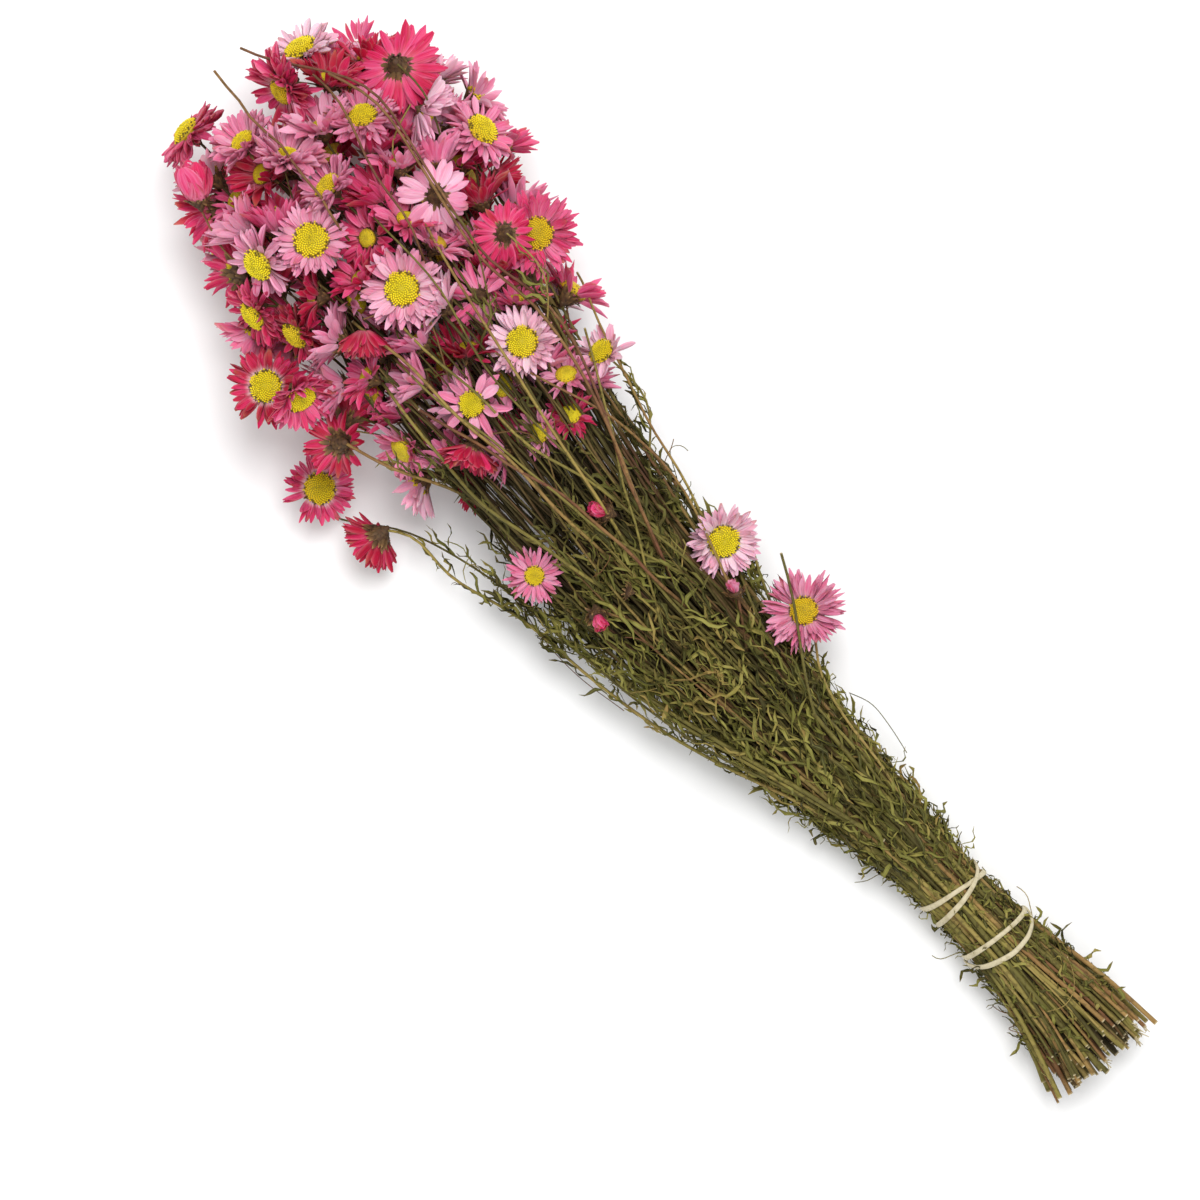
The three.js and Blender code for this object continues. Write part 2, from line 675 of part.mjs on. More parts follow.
// The flowers low on the bunch have long stems of their own and belong to the leafy part
const inHead = (flower) => flowerRoot(flower).x > HEAD_START + 6;
const headStems = front.filter(inHead);
const longStems = front.filter((flower) => !inHead(flower));

const leafyStems = joined([
  coreSolid(CORE_START, HEAD_START - CLEARANCE / 2, OUTER_STEMS),
  ...cutEnds(),
  ...longStems.map((flower) => flowerStem(flower)),
  ...leafSolids(all),
  ...BUDS.map(budStem),
  ...BUDS.map(budSolid),
]);
addNode('leafy_stems', largest(leafyStems.intersect(aboveSurface)), GREEN);
BANDS.forEach((band) => addNode(band.name, bandSolid(band), CREAM, 0.6));

// What the petals have to keep clear of: the stems first, then each flower already placed
const stemSpace = joined([
  coreSolid(CORE_START, HEAD_START, OUTER_STEMS, CLEARANCE),
  coreSolid(HEAD_START, HEAD_END, INNER_STEMS, CLEARANCE),
  ...all.map((flower) => flowerStem(flower, CLEARANCE)),
  ...strays.map((points) => stemSolid(points, STRAY_STEPS, CLEARANCE)),
]);
let taken = stemSpace;
const frontSpaces = [];
front.forEach((flower) => {
  const open = OPEN_FACES.includes(flower.name);
  const cut = flowerSolid(flower, 'front', !open).subtract(taken).intersect(aboveSurface);
  addNode(flower.name, largest(cut), toneColour(flower.tone));
  if (open) addNode(`${flower.name}_disc`, discSolid(flower), YELLOW);
  const space = flowerSolid(flower, 'front', true, CLEARANCE);
  taken = taken.add(space);
  frontSpaces.push(space);
});

// The flowers behind and below them are one body with the stems in the head of the bunch
const packedFlowers = joined([
  coreSolid(HEAD_START + CLEARANCE / 2, HEAD_END, INNER_STEMS),
  ...headStems.map((flower) => flowerStem(flower)),
  ...packed.map((flower) => flowerStem(flower, 0, FOOT_SUNK)),
  ...packed.map((flower) => flowerSolid(flower, flower.level < 1.6 ? 'deep' : 'deepest')),
  ...strays.map((points) => stemSolid(points, STRAY_STEPS)),
]);
const clearOf = joined([
  ...frontSpaces,
  ...longStems.map((flower) => flowerStem(flower, CLEARANCE)),
]);
const packedCut = packedFlowers.subtract(clearOf).intersect(aboveSurface);
addNode('packed_flowers', largest(packedCut), toneColour(1.6));

export default bunch;
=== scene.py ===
import math

import bpy
import numpy as np
from mathutils import Matrix, Vector


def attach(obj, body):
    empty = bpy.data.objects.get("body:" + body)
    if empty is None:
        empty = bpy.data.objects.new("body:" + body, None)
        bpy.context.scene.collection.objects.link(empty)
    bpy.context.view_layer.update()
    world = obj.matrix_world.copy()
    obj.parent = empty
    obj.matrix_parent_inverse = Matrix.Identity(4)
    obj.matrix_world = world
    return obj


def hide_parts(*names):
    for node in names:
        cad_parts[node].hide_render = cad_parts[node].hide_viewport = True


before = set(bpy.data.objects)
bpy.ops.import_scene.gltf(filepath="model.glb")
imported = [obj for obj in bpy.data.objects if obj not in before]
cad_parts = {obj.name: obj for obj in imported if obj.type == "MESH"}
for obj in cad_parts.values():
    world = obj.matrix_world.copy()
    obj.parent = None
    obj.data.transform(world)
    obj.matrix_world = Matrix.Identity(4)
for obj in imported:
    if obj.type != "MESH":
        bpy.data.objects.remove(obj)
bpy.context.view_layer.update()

# The stems.
# Dried daisies were cut, gathered by hand and laid on their side. Each flower has one ribbed
# stem from the cut end through the tie to its cup, and more stems have lost their heads.
MM = 0.001
ALONG, UP = np.array([1.0, 0, 0]), np.array([0, 0, 1.0])
NECK = 8
LEVEL_DROP = 20
DISC_DEPTH = 6

# Places along the bunch, and at each its low and high side across, its underside and its top
OUTLINE = np.array([
    (-90, -25, 27, 3, 38), (-62, -24.5, 21.5, 2, 37), (-45, -22, 18.5, 1.6, 35.5),
    (-24, -17.8, 16.8, 1.9, 34.5), (-10.5, -17, 16, 1.9, 34), (-8, -16.5, 15.8, -0.6, 34),
    (4, -15.5, 15.3, -0.6, 34), (6.5, -14.2, 15, 1.9, 34), (18, -13.8, 15.5, 1.9, 34),
    (40, -15.5, 19, 0.8, 36), (80, -16, 29, 0.8, 42), (120, -20, 37, 1.5, 49),
    (160, -25, 46, 2.5, 56), (210, -30, 57, 4, 66), (250, -37, 61, 5, 76),
    (300, -50, 66, 4, 88), (350, -64, 74, 3, 96), (400, -84, 79, 2, 100),
    (440, -72, 64, 5, 94), (485, -44, 48, 20, 74)])

# Name, along, across, lean from upright, the way it leans, spread, tone of pink, layer under
# the top one, rise of the petals, and a height where it stands apart from the head
TOP_FLOWERS = [
    ("low_side", 147, -30, 10, 0, 38, 0.85, 0, 12, 45),
    ("low_side_pale", 192, -24, 18, 180, 34, 0.3, 0, 12, 47),
    ("small_open", 234, 46, 3, 0, 26, 0.9, 0, 10),
    ("stray_back", 292, 88, 115, 90, 31, 2.0, 0, 28, 22),
    ("stray_face", 324.5, 91, 20, 225, 34, 1.5, 0, 12, 21),
    ("rose_turned", 331, 72, 150, 60, 30, 2.0, 0, 25),
    ("rose_edge", 290, 32, 88, 120, 28, 2.0, 0, 34),
    ("lilac_sparse", 304.5, 18, 15, 40, 32, 0.8, 0, 8),
    ("crimson_dome", 355, 33, 98, 140, 22, 2.0, 0, 46),
    ("pale_face", 310, -15, 12, 20, 33, 0.3, 0, 12),
    ("pale_ragged", 286, -38, 45, 10, 28, 0.4, 0, 18),
    ("pink_face", 341, -50, 10, 200, 38, 1.4, 0, 12),
    ("rose_back", 349, -39, 168, 30, 28, 1.8, -0.1, 25),
    ("wide_face", 359, 8, 10, 60, 38, 0.6, 0, 10),
    ("round_face", 399, 23, 5, 0, 34, 0.8, 0, 12),
    ("reflexed", 407, 46, 52, 90, 34, 0.7, 0, -10),
    ("dark_side", 394, 62, 68, 90, 32, 1.7, 0.4, -6),
    ("dark_face", 369, 78, 15, 30, 36, 1.9, 0, 10),
    ("leaning_in", 355, 70, 58, 175, 34, 1.5, -0.35, 22),
    ("crimson_side", 376, 54, 66, 95, 30, 2.0, 0.4, -4),
    ("facing_tip", 411, 3, 55, 10, 30, 0.9, 0, 18),
    ("dark_centre", 432, 7, 50, 300, 34, 0.8, 0, 24),
    ("closed_cup", 447, 46, 76, 332, 26, 1.7, 0, 74),
    ("tip_single", 474, 32, 72, 10, 32, 1.5, 0, -24, 46),
    ("tip_pink", 450, 17, 48, 0, 32, 0.9, 0.15, 20),
    ("tip_wide", 455, -9, 66, 90, 38, 1.7, 0, -6),
    ("tip_pale", 465, -27, 55, 350, 34, 0.2, 0.2, 0),
    ("big_back", 430, -52, 164, 170, 40, 1.7, 0, 14),
    ("messy", 408, -48, 98, 200, 34, 0.5, 0, 26),
    ("upper_pink", 424, -27, 40, 330, 34, 0.9, 0, 4),
    ("upper_back", 379, -28, 170, 0, 33, 0.7, 0, 22),
    ("side_face", 388, -61, 48, 270, 34, 1.0, 0, -6),
    ("rose_upper", 338, 60, 118, 300, 30, 2.0, 1.3, 30),
    ("small_pink", 451, -33, 30, 300, 28, 1.0, 0.9, 16),
]

# Those in the layers below, which show between the top ones
DEEPER_FLOWERS = [
    ("dusty", 307, 54, 55, 90, 30, 1.0, 1, 20), ("magenta", 337, 46, 65, 90, 26, 1.5, 1, 24),
    ("dusty_low", 312, 42, 60, 60, 28, 1.0, 2, 20), ("white_side", 316, -53, 100, 290, 26, 0, 1, 34),
    ("pale_low", 336, -62, 55, 290, 28, 0.5, 2, 18),
    ("crimson_back", 329, -35, 140, 0, 24, 2.0, 1, 34),
    ("rose_in_stems", 271, -10, 30, 0, 25, 1.8, 0.4, 12),
    ("lilac_small", 283, -17, 40, 330, 24, 0.9, 0.4, 16),
    ("lilac_stem", 277, 1, 40, 60, 24, 0.9, 0.4, 16), ("dusky", 303, 3, 30, 40, 27, 1.0, 0.8, 14),
    ("crimson_low", 328, 14, 60, 30, 30, 2.0, 1.7, 20),
    ("spidery_back", 337, -14, 158, 20, 32, 1.2, 0.4, 20),
    ("pink_between", 364, -14, 40, 250, 28, 0.9, 1.2, 18),
    ("crimson_deep", 362, -28, 50, 220, 30, 2.0, 2, 20),
    ("pale_behind", 388, 70, 98, 100, 32, 1.0, 1, 32),
    ("rose_hollow", 414, 57, 150, 0, 36, 1.8, 1.2, 28),
    ("turned_pink", 370, 25, 65, 235, 32, 0.9, 1, 24),
    ("rose_middle", 385, 5, 35, 60, 32, 1.7, 0.4, 16),
    ("rose_behind", 420, 24, 98, 330, 30, 1.6, 1, 28),
    ("orange_disc", 437, 36, 60, 20, 30, 1.3, 1, 22),
    ("rose_between", 404, -23, 60, 100, 28, 2.0, 1, 24),
    ("crimson_a", 400, -7, 40, 20, 30, 2.0, 2, 18), ("crimson_b", 425, -8, 50, 0, 30, 2.0, 1.7, 20),
    ("crimson_c", 445, -4, 60, 0, 28, 2.0, 1.7, 20),
    ("crimson_d", 437, -26, 60, 340, 28, 1.8, 1.7, 20),
    ("pale_under", 446, -44, 60, 320, 28, 0.5, 1.2, 20),
    ("spidery_side", 400, -70, 95, 260, 34, 0.7, 1, 26),
    ("dried_head", 371, -54, 108, 250, 20, 2.0, 1, 60),
    ("crimson_e", 380, -46, 60, 250, 28, 2.0, 1.8, 22),
]

# Those that close the end of the head, low down
END_FLOWERS = [
    ("gap_at_end_1", 437, -23, 88, 345, 32, 1.5, 1, 18, 40),
    ("gap_at_end_2", 444, 3, 92, 5, 33, 0.6, 1, 18, 32),
    ("gap_at_end_3", 434, 12, 80, 20, 30, 1.9, 1, 22, 52),
]


class Draws:
    """Draws that come out the same on every run."""

    def __init__(self, seed):
        self.state = seed

    def between(self, low, high):
        self.state = (self.state * 1664525 + 1013904223) % 2**32
        return low + (high - low) * self.state / 2**32


def outline_at(x):
    """Middle and half size of the bunch's section at x: across, then up."""
    low, high, under, top = (np.interp(x, OUTLINE[:, 0], OUTLINE[:, k]) for k in range(1, 5))
    return (low + high) / 2, (high - low) / 2, (top + under) / 2, (top - under) / 2


def in_bunch(x, u, v):
    """A point of the section at x, where u and v run from -1 to 1."""
    y, half_width, z, half_height = outline_at(x)
    return np.array([x, y + u * half_width, z + v * half_height])


def place_in_bunch(point):
    """The u and v of a point."""
    y, half_width, z, half_height = outline_at(point[0])
    return (point[1] - y) / half_width, (point[2] - z) / half_height


def unit(vector):
    return vector / np.linalg.norm(vector)


def polar(angle, share):
    """The u and v at an angle round the section and a share of the way out."""
    return share * math.cos(angle), share * math.sin(angle)


def outward_at(point):
    """The way out from the middle of the bunch."""
    return unit(point - in_bunch(point[0], 0, 0))


class Flower:
    """Where one flower stands, the way it faces and how it looks."""

    def __init__(self, name, centre, axis, spread, tone, level, rise):
        self.name, self.centre, self.axis = name, np.array(centre, float), unit(np.array(axis))
        self.spread, self.tone, self.level, self.rise = spread, tone, level, math.radians(rise)

    def foot(self, depth=NECK):
        return self.centre - self.axis * depth


def height_over(x, y, depth):
    """The height of the bunch's upper side over a spot, less a depth."""
    middle, half_width, z, half_height = outline_at(x)
    across = min(max((y - middle) / half_width, -0.97), 0.97)
    return z + (half_height - depth) * math.sqrt(1 - across * across)


def standing_flower(name, x, y, lean, towards, spread, tone, level, rise, height=None):
    """A flower of the tables above, on the bunch's upper side unless its height is given."""
    tilt, way = math.radians(lean), math.radians(towards)
    axis = (math.sin(tilt) * math.cos(way), math.sin(tilt) * math.sin(way), math.cos(tilt))
    height = height_over(x, y, DISC_DEPTH) - level * LEVEL_DROP if height is None else height
    return Flower(name, (x, y, height), axis, spread, tone, level, rise)


RING_PLACES = (304, 342, 380, 418)
RING_ANGLES = (-15, -62, -112, -162)
# How far in from the flanks and up from the underside they stand, and how much they differ
SET_IN, SET_UP = 8, 6
HIDDEN_SPREADS, HIDDEN_TONES, HIDDEN_RISES = (28, 35), (0.2, 2), (12, 30)


def hidden_flowers():
    """Flowers on the flanks and the underside, in rings round the head that face outwards."""
    draws = Draws(41)
    flowers = []
    for ring, ring_x in enumerate(RING_PLACES):
        for turn, angle in enumerate(RING_ANGLES):
            x = ring_x + draws.between(-7, 7) + (turn % 2) * 10
            way = math.radians(angle + draws.between(-8, 8))
            y, half_width, z, half_height = outline_at(x)
            spread, tone = draws.between(*HIDDEN_SPREADS), draws.between(*HIDDEN_TONES)
            rise = draws.between(*HIDDEN_RISES)
            axis = (draws.between(0.1, 0.5), math.cos(way), math.sin(way))
            centre = (x, y + (half_width - SET_IN) * math.cos(way),
                      z + (half_height - SET_UP) * math.sin(way))
            flowers.append(Flower(f"under_{ring}_{turn}", centre, axis, spread, tone, 2, rise))
    return flowers


# How far out, and between which places along the bunch, the packed flowers may stand
FULLEST = 0.88
HEAD_START, HEAD_END = 275, 455
# How close two of them come for their spreads, and how they are pushed apart
ELBOW_ROOM = 0.36
PUSHES, PUSH = 40, 0.3


def keep_in_outline(flower):
    """Holds a packed flower inside the head and its petals off the floor."""
    y, half_width, z, half_height = outline_at(flower.centre[0])
    u, v = place_in_bunch(flower.centre)
    share = math.hypot(u, v)
    if share > FULLEST:
        flower.centre[1] = y + u * half_width * FULLEST / share
        flower.centre[2] = z + v * half_height * FULLEST / share
    upright = math.sqrt(1 - flower.axis[2] ** 2)
    reach = max(flower.spread / 2 * upright - 5 * flower.axis[2], 5)
    flower.centre[2] = max(flower.centre[2], reach - 0.4)
    flower.centre[0] = min(max(flower.centre[0], HEAD_START), HEAD_END)


def settle(loose, fixed):
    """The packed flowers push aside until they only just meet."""
    every_one = fixed + loose
    for _ in range(PUSHES):
        for flower in loose:
            for other in every_one:
                if other is flower:
                    continue
                apart = flower.centre - other.centre
                gap = np.linalg.norm(apart)
                short = ELBOW_ROOM * (flower.spread + other.spread) - gap
                if short > 0:
                    flower.centre += apart / gap * short * PUSH
            keep_in_outline(flower)


GAP_FLOWERS = 74
GAP_PLACES, GAP_SPREADS, GAP_RISES = (280, 456), (29, 36), (20, 46)
GAP_TONES = [0.4, 0.8, 1.0, 1.4, 1.7, 2.0]
# How far out they stand in the head, and deep among the stems before it
HEAD_FROM = 325
IN_HEAD, AMONG_STEMS = (0.66, 0.82), (0.2, 0.6)
LOWEST_GAP_FLOWER = 10
TRIES = 70


def gap_flowers(standing, count, dice):
    """Flowers a little inside the others, each in the widest gap of those that were tried."""
    flowers = []
    for number in range(count):
        others = standing + flowers
        centres = np.array([other.centre for other in others])
        spreads = np.array([other.spread for other in others])
        widest = -100
        for _ in range(TRIES):
            on_top = number % 3 > 0
            x = dice.uniform(*GAP_PLACES)
            side = dice.uniform(0, math.pi) if on_top else dice.uniform(math.pi, 2 * math.pi)
            spot = in_bunch(x, *polar(side, dice.uniform(*(IN_HEAD if x > HEAD_FROM else AMONG_STEMS))))
            room = np.min(np.linalg.norm(centres - spot, axis=1) - 0.3 * spreads)
            if room > widest and spot[2] > LOWEST_GAP_FLOWER:
                widest, centre = room, spot
        tilt = np.array([dice.uniform(0.4, 1.8), dice.normal(0, 0.8), dice.normal(-0.1, 0.3)])
        spread, tone, rise = dice.uniform(*GAP_SPREADS), dice.choice(GAP_TONES), dice.uniform(*GAP_RISES)
        flowers.append(Flower(f"gap_{number}", centre, outward_at(centre) + tilt, spread, tone, 1, rise))
    return flowers


top_flowers = [standing_flower(*row) for row in TOP_FLOWERS]
packed_flowers = [standing_flower(*row) for row in DEEPER_FLOWERS] + hidden_flowers()
settle(packed_flowers, top_flowers)
packed_flowers += gap_flowers(top_flowers + packed_flowers, GAP_FLOWERS, np.random.default_rng(3))
packed_flowers += [standing_flower(*row) for row in END_FLOWERS]
every_flower = top_flowers + packed_flowers

STEM_STEP = 12
FINE_STEM_STEP = 6
EDGE_STEM_STEP = 8
STEM_FOOT_RADIUS = 0.92
STEM_NECK_RADIUS = 0.52
BARE_STEMS = 135

# Flowers whose stems take a way of their own. The first two hang on long ones at the +Y edge.
STEMS_BY_HAND = {
    "stray_back": [(92, 27, 34), (120, 39, 33), (150, 50, 32), (185, 58, 30), (225, 63, 27), (262, 74, 22)],
    "stray_face": [(96, 26, 40), (124, 37, 42), (160, 47, 41), (200, 55, 38), (250, 63, 25), (288, 76, 11)],
    "low_side": [(60, -9, 33), (100, -14, 36), (128, -20, 37)],
    "low_side_pale": [(80, -6, 38), (130, -9, 42), (168, -16, 42)],
    "spidery_back": [(150, 0, 45), (220, 2, 56), (275, 4, 66), (305, 4, 71), (321, 1, 78)],
}

# Bare stems that stray over the flowers, by places along and across
STRAY_STEMS = [
    [(225, -6), (245, -12), (259, -19), (275, -25), (289, -30), (319, -33), (345, -26), (360, -28),
     (400, -34), (430, -37), (452, -25), (470, -12), (480, -8)],
    [(236, -10), (262, -19), (290, -26), (322, -29), (345, -24.5), (362, -26.5), (398, -32), (426, -35),
     (446, -28)],
    [(371, -10), (380, -13), (412, -16), (432, -25), (450, -23)],
    [(403, 9.5), (415, 8), (427, 6.5), (452, 8), (480, 6.5)],
]

# Bare stems that lie across the others between the leaves and the flowers
CROSSING_STEMS = [
    [(382, -3), (346, -3), (315, 3), (291, 4), (262, 3), (230, -2), (200, -6)],
    [(367, -16), (341, -10), (322, -6.5), (300, -4), (270, 0), (240, 5)],
    [(345, 18), (323, 17), (312, 15), (300, 13), (282, 12.5), (264, 8.5), (250, 3), (232, -1)],
    [(350, 30), (336, 27.5), (322, 26.5), (300, 25), (275, 22), (248, 20)],
    [(330, 29), (308, 28), (290, 22), (273, 20), (247, 14), (230, 13), (212, 6)],
    [(286, 26), (262, 18.5), (240, 12), (226, 11), (205, 9)],
    [(325, 41), (301, 42.5), (270, 42.5), (252, 38), (232, 33)],
    [(306, -49), (275, -39), (259, -35.5), (243, -32.5), (222, -28)],
    [(285, -14), (260, -23), (247, -24.5), (232, -27), (212, -25), (194, -19)],
    [(268, -24), (258, -19), (245, -11), (228, -3), (210, 6)],
]
FLOWERS_FROM = 300
FREE_ENDS_FROM = 440

# Thicker stems that lie on the outside: six from their cut end up into the leaves, then two
# along the +Y edge of the leafy part
THICK_STEMS = [
    [(-81, 27, 12), (-62, 21, 17), (-40, 15, 21.5), (-20, 12.5, 23.5), (0, 12, 23.5), (30, 14, 25),
     (70, 20, 28)],
    [(-76, 26, 15), (-58, 19, 20), (-38, 12.5, 25.5), (-18, 10.5, 27), (5, 10.5, 27), (35, 13, 28),
     (75, 17, 32)],
    [(-85, -9, 33.5), (-60, -6, 35), (-35, -2.5, 34), (-10, 1, 32.3), (15, 3, 32.3), (45, 4, 34),
     (80, 6, 38)],
    [(-76, -15, 30), (-58, -13, 31), (-40, -11, 30), (-16, -8.5, 29), (10, -7, 29), (45, -8, 30),
     (85, -9, 35)],
    [(-84, 11, 31.5), (-60, 9, 32.5), (-36, 7, 32.5), (-12, 6, 31.2), (12, 7, 31), (50, 11, 32),
     (95, 18, 38)],
    [(-88, 3, 34), (-62, 5, 34.5), (-30, 4, 33.2), (-5, 3.5, 32.2), (20, 1, 32.2), (60, -3, 35),
     (112, -4, 45)],
    [(60, 13, 33), (87, 22, 39), (120, 33, 37.5), (157, 45, 33), (182, 51, 31.5), (208, 56, 30),
     (226, 57, 26)],
    [(50, 9, 34), (80, 18, 40), (112, 28.5, 39.5), (150, 41, 36.5), (176, 48, 35), (198, 52, 31)],
]

# Thin stems that lie free at the other edge, one of them over the lowest flower
FREE_STEMS = [
    [(172, -39, 48), (155, -30.6, 52.5), (136, -18.2, 51.5), (117, -6.7, 47), (98, 1, 41)],
    [(191, -37, 34), (184, -32, 37), (167, -25, 39), (142, -16, 37)],
]


def sign(operation, turned_round=False):
    """What one sign does between two wires, or between a wire and a number."""
    def work(wire, value):
        return wire.board.maths(operation, *((value, wire) if turned_round else (wire, value)))
    return work


class Wire:
    """A value in a node tree. Sums written with it become the tree's maths nodes."""

    def __init__(self, board, socket):
        self.board, self.socket = board, socket

    def other(self, output):
        return Wire(self.board, self.socket.node.outputs[output])

    __add__ = __radd__ = sign("ADD")
    __mul__ = __rmul__ = sign("MULTIPLY")
    __sub__, __rsub__ = sign("SUBTRACT"), sign("SUBTRACT", turned_round=True)
    __truediv__, __pow__ = sign("DIVIDE"), sign("POWER")
    __lt__, __gt__ = sign("LESS_THAN"), sign("GREATER_THAN")


class Board:
    """A node tree that a material or a shape is wired up on."""

    def __init__(self, tree):
        self.tree = tree

    def add(self, kind, sockets=None, settings=None, output=0):
        """A node with what goes into its sockets and its settings. The rest below use it."""
        node = self.tree.nodes.new(kind)
        for key, value in (settings or {}).items():
            if key == "stops":
                ramp = node.color_ramp
                while len(ramp.elements) < len(value):
                    ramp.elements.new(0.5)
                for stop, (place, colour) in zip(ramp.elements, value):
                    stop.position, stop.color = place, colour
            else:
                setattr(node, key, value)
        for key, value in (sockets or {}).items():
            if isinstance(value, Wire):
                self.tree.links.new(value.socket, node.inputs[key])
            else:
                node.inputs[key].default_value = value
        return Wire(self, node.outputs[output]) if node.outputs else None

    def maths(self, operation, *values):
        return self.add("ShaderNodeMath", dict(enumerate(values)), {"operation": operation})

    def vector(self, x, y, z):
        return self.add("ShaderNodeCombineXYZ", {"X": x, "Y": y, "Z": z})

    def attribute(self, name, output="Fac"):
        return self.add("ShaderNodeAttribute", {}, {"attribute_name": name}, output)

    def stored(self, name, kind="FLOAT"):
        """A mark on the points of a shape."""
        return self.add("GeometryNodeInputNamedAttribute", {"Name": name}, {"data_type": kind})

    def place(self):
        return self.add("ShaderNodeTexCoord", output="Object")

    def noise(self, place, scale, detail):
        return self.add("ShaderNodeTexNoise", {"Vector": place, "Scale": scale, "Detail": detail})

    def bump(self, height, strength, depth):
        return self.add("ShaderNodeBump", {"Height": height, "Strength": strength, "Distance": depth})

    def mix(self, share, first, second):
        """Two colours mixed by a share."""
        return self.add("ShaderNodeMix", {"Factor": share, 6: first, 7: second}, {"data_type": "RGBA"}, 2)

    def ramp(self, value, *stops):
        """Paint chips by their places from 0 to 1."""
        return self.add("ShaderNodeValToRGB", {0: value},
                        {"stops": [(place, colour(code)) for place, code in stops]})

    def join(self, *shapes):
        whole = self.add("GeometryNodeJoinGeometry")
        for shape in shapes:
            self.tree.links.new(shape.socket, whole.socket.node.inputs[0])
        return whole


def colour(code):
    """A paint chip's code, such as E8D42A, as the linear colour that the nodes take."""
    parts = [int(code[k:k + 2], 16) / 255 for k in (0, 2, 4)]
    return tuple(p / 12.92 if p < 0.04045 else ((p + 0.055) / 1.055) ** 2.4 for p in parts) + (1,)


def surface(name, coat, **constants):
    """A material whose changing values come from coat(board), by the shader's socket names."""
    material = bpy.data.materials.new(name)
    material.use_nodes = True
    board = Board(material.node_tree)
    shader = material.node_tree.nodes["Principled BSDF"]
    for key, value in coat(board).items():
        board.tree.links.new(value.socket, shader.inputs[key])
    for key, value in constants.items():
        shader.inputs[key.replace("_", " ")].default_value = value
    return material


def shape_tree(name, inputs):
    """An empty tree for a shape, with named inputs and its input wires by name."""
    tree = bpy.data.node_groups.new(name, "GeometryNodeTree")
    tree.interface.new_socket("Geometry", in_out="OUTPUT", socket_type="NodeSocketGeometry")
    for key, kind in [("Geometry", "Geometry")] + list(inputs.items()):
        tree.interface.new_socket(key, in_out="INPUT", socket_type=f"NodeSocket{kind}")
    board = Board(tree)
    source = board.add("NodeGroupInput")
    return board, {key: source.other(key) for key in ["Geometry"] + list(inputs)}


def finish_tree(board, geometry, material):
    """Every shape ends as real mesh with its material set."""
    real = board.add("GeometryNodeRealizeInstances", {"Geometry": geometry})
    painted = board.add("GeometryNodeSetMaterial", {"Geometry": real, "Material": material})
    board.add("NodeGroupOutput", {0: painted})
    return board.tree


def put(name, data):
    """A new object in the scene."""
    thing = bpy.data.objects.new(name, data)
    bpy.context.scene.collection.objects.link(thing)
    return thing


def grow(name, tree, inputs, start=None):
    """Runs a tree once and returns its result as an object with a plain mesh."""
    piece = put(name, start or bpy.data.meshes.new(name))
    modifier = piece.modifiers.new("growth", "NODES")
    modifier.node_group = tree
    for item in tree.interface.items_tree:
        if item.in_out == "INPUT" and item.name in inputs:
            modifier[item.identifier] = inputs[item.name]
    bpy.context.view_layer.update()
    grown = piece.evaluated_get(bpy.context.evaluated_depsgraph_get())
    mesh = bpy.data.meshes.new_from_object(grown)
    piece.modifiers.clear()
    piece.data = mesh
    mesh.name = name
    return piece


def mark(mesh, **marks):
    """Writes a value, or three, for each vertex of a mesh. Only kinds are whole numbers."""
    for key, values in marks.items():
        whole = key == "kind"
        values = np.asarray(values, np.int32 if whole else np.float32)
        threes = values.ndim > 1
        layer = mesh.attributes.new(key, "INT" if whole else "FLOAT_VECTOR" if threes else "FLOAT", "POINT")
        layer.data.foreach_set("vector" if threes else "value", values.ravel())


def mesh_of(name, vertices, edges=(), faces=(), **marks):
    mesh = bpy.data.meshes.new(name)
    mesh.from_pydata(vertices, edges, faces)
    mark(mesh, **marks)
    return mesh


def belongs(piece, slot, *nodes):
    """Ties a piece to the part: hangs it on the root and hides the nodes of the source that it stands for.
    Its slot is not used.
    """
    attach(piece, "root")
    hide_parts(*nodes)


def smooth_path(points, step):
    """A smooth curve through the points, as points about a step apart."""
    points = np.array(points, float)
    lengths = np.linalg.norm(np.diff(points, axis=0), axis=1)
    places = np.concatenate([[0], np.cumsum(lengths)])
    slopes = np.gradient(points, places, axis=0)
    wanted = np.linspace(0, places[-1], max(int(places[-1] / step), 3))
    found = []
    for place in wanted:
        i = min(np.searchsorted(places, place, side="right") - 1, len(lengths) - 1)
        t, span = (place - places[i]) / lengths[i], lengths[i]
        found.append((2 * t**3 - 3 * t**2 + 1) * points[i] + (t**3 - 2 * t**2 + t) * span * slopes[i]
                     + (3 * t**2 - 2 * t**3) * points[i + 1] + (t**3 - t**2) * span * slopes[i + 1])
    found = np.array(found)
    for _ in range(2):
        found[1:-1] = found[1:-1] / 2 + (found[:-2] + found[2:]) / 4
    return found


# Where the lowest cut ends lie, and how far up from there the highest ones can be
LOWEST_END, END_RANGE = -88, 26
END_SHARE = 0.98
# Places along the bunch where a stem passes through the bands, and how far these draw it in
TIE_PLACES = [(-24, 0.94), (-2, 0.93), (22, 0.95)]
BELOW_TIE = -52


def through_tie(angle, share, dice):
    """The lowest points of a stem: its cut end and its way through the bands."""
    u, v = polar(angle, share)
    end = LOWEST_END + dice.triangular(0, 2, END_RANGE)
    end_u, end_v = u * END_SHARE + dice.normal(0, 0.17), v * END_SHARE + dice.normal(0, 0.14)
    return [in_bunch(end, end_u, end_v), in_bunch(BELOW_TIE, (u + end_u) / 2, (v + end_v) / 2),
            *(in_bunch(x, u * share, v * share) for x, share in TIE_PLACES)]


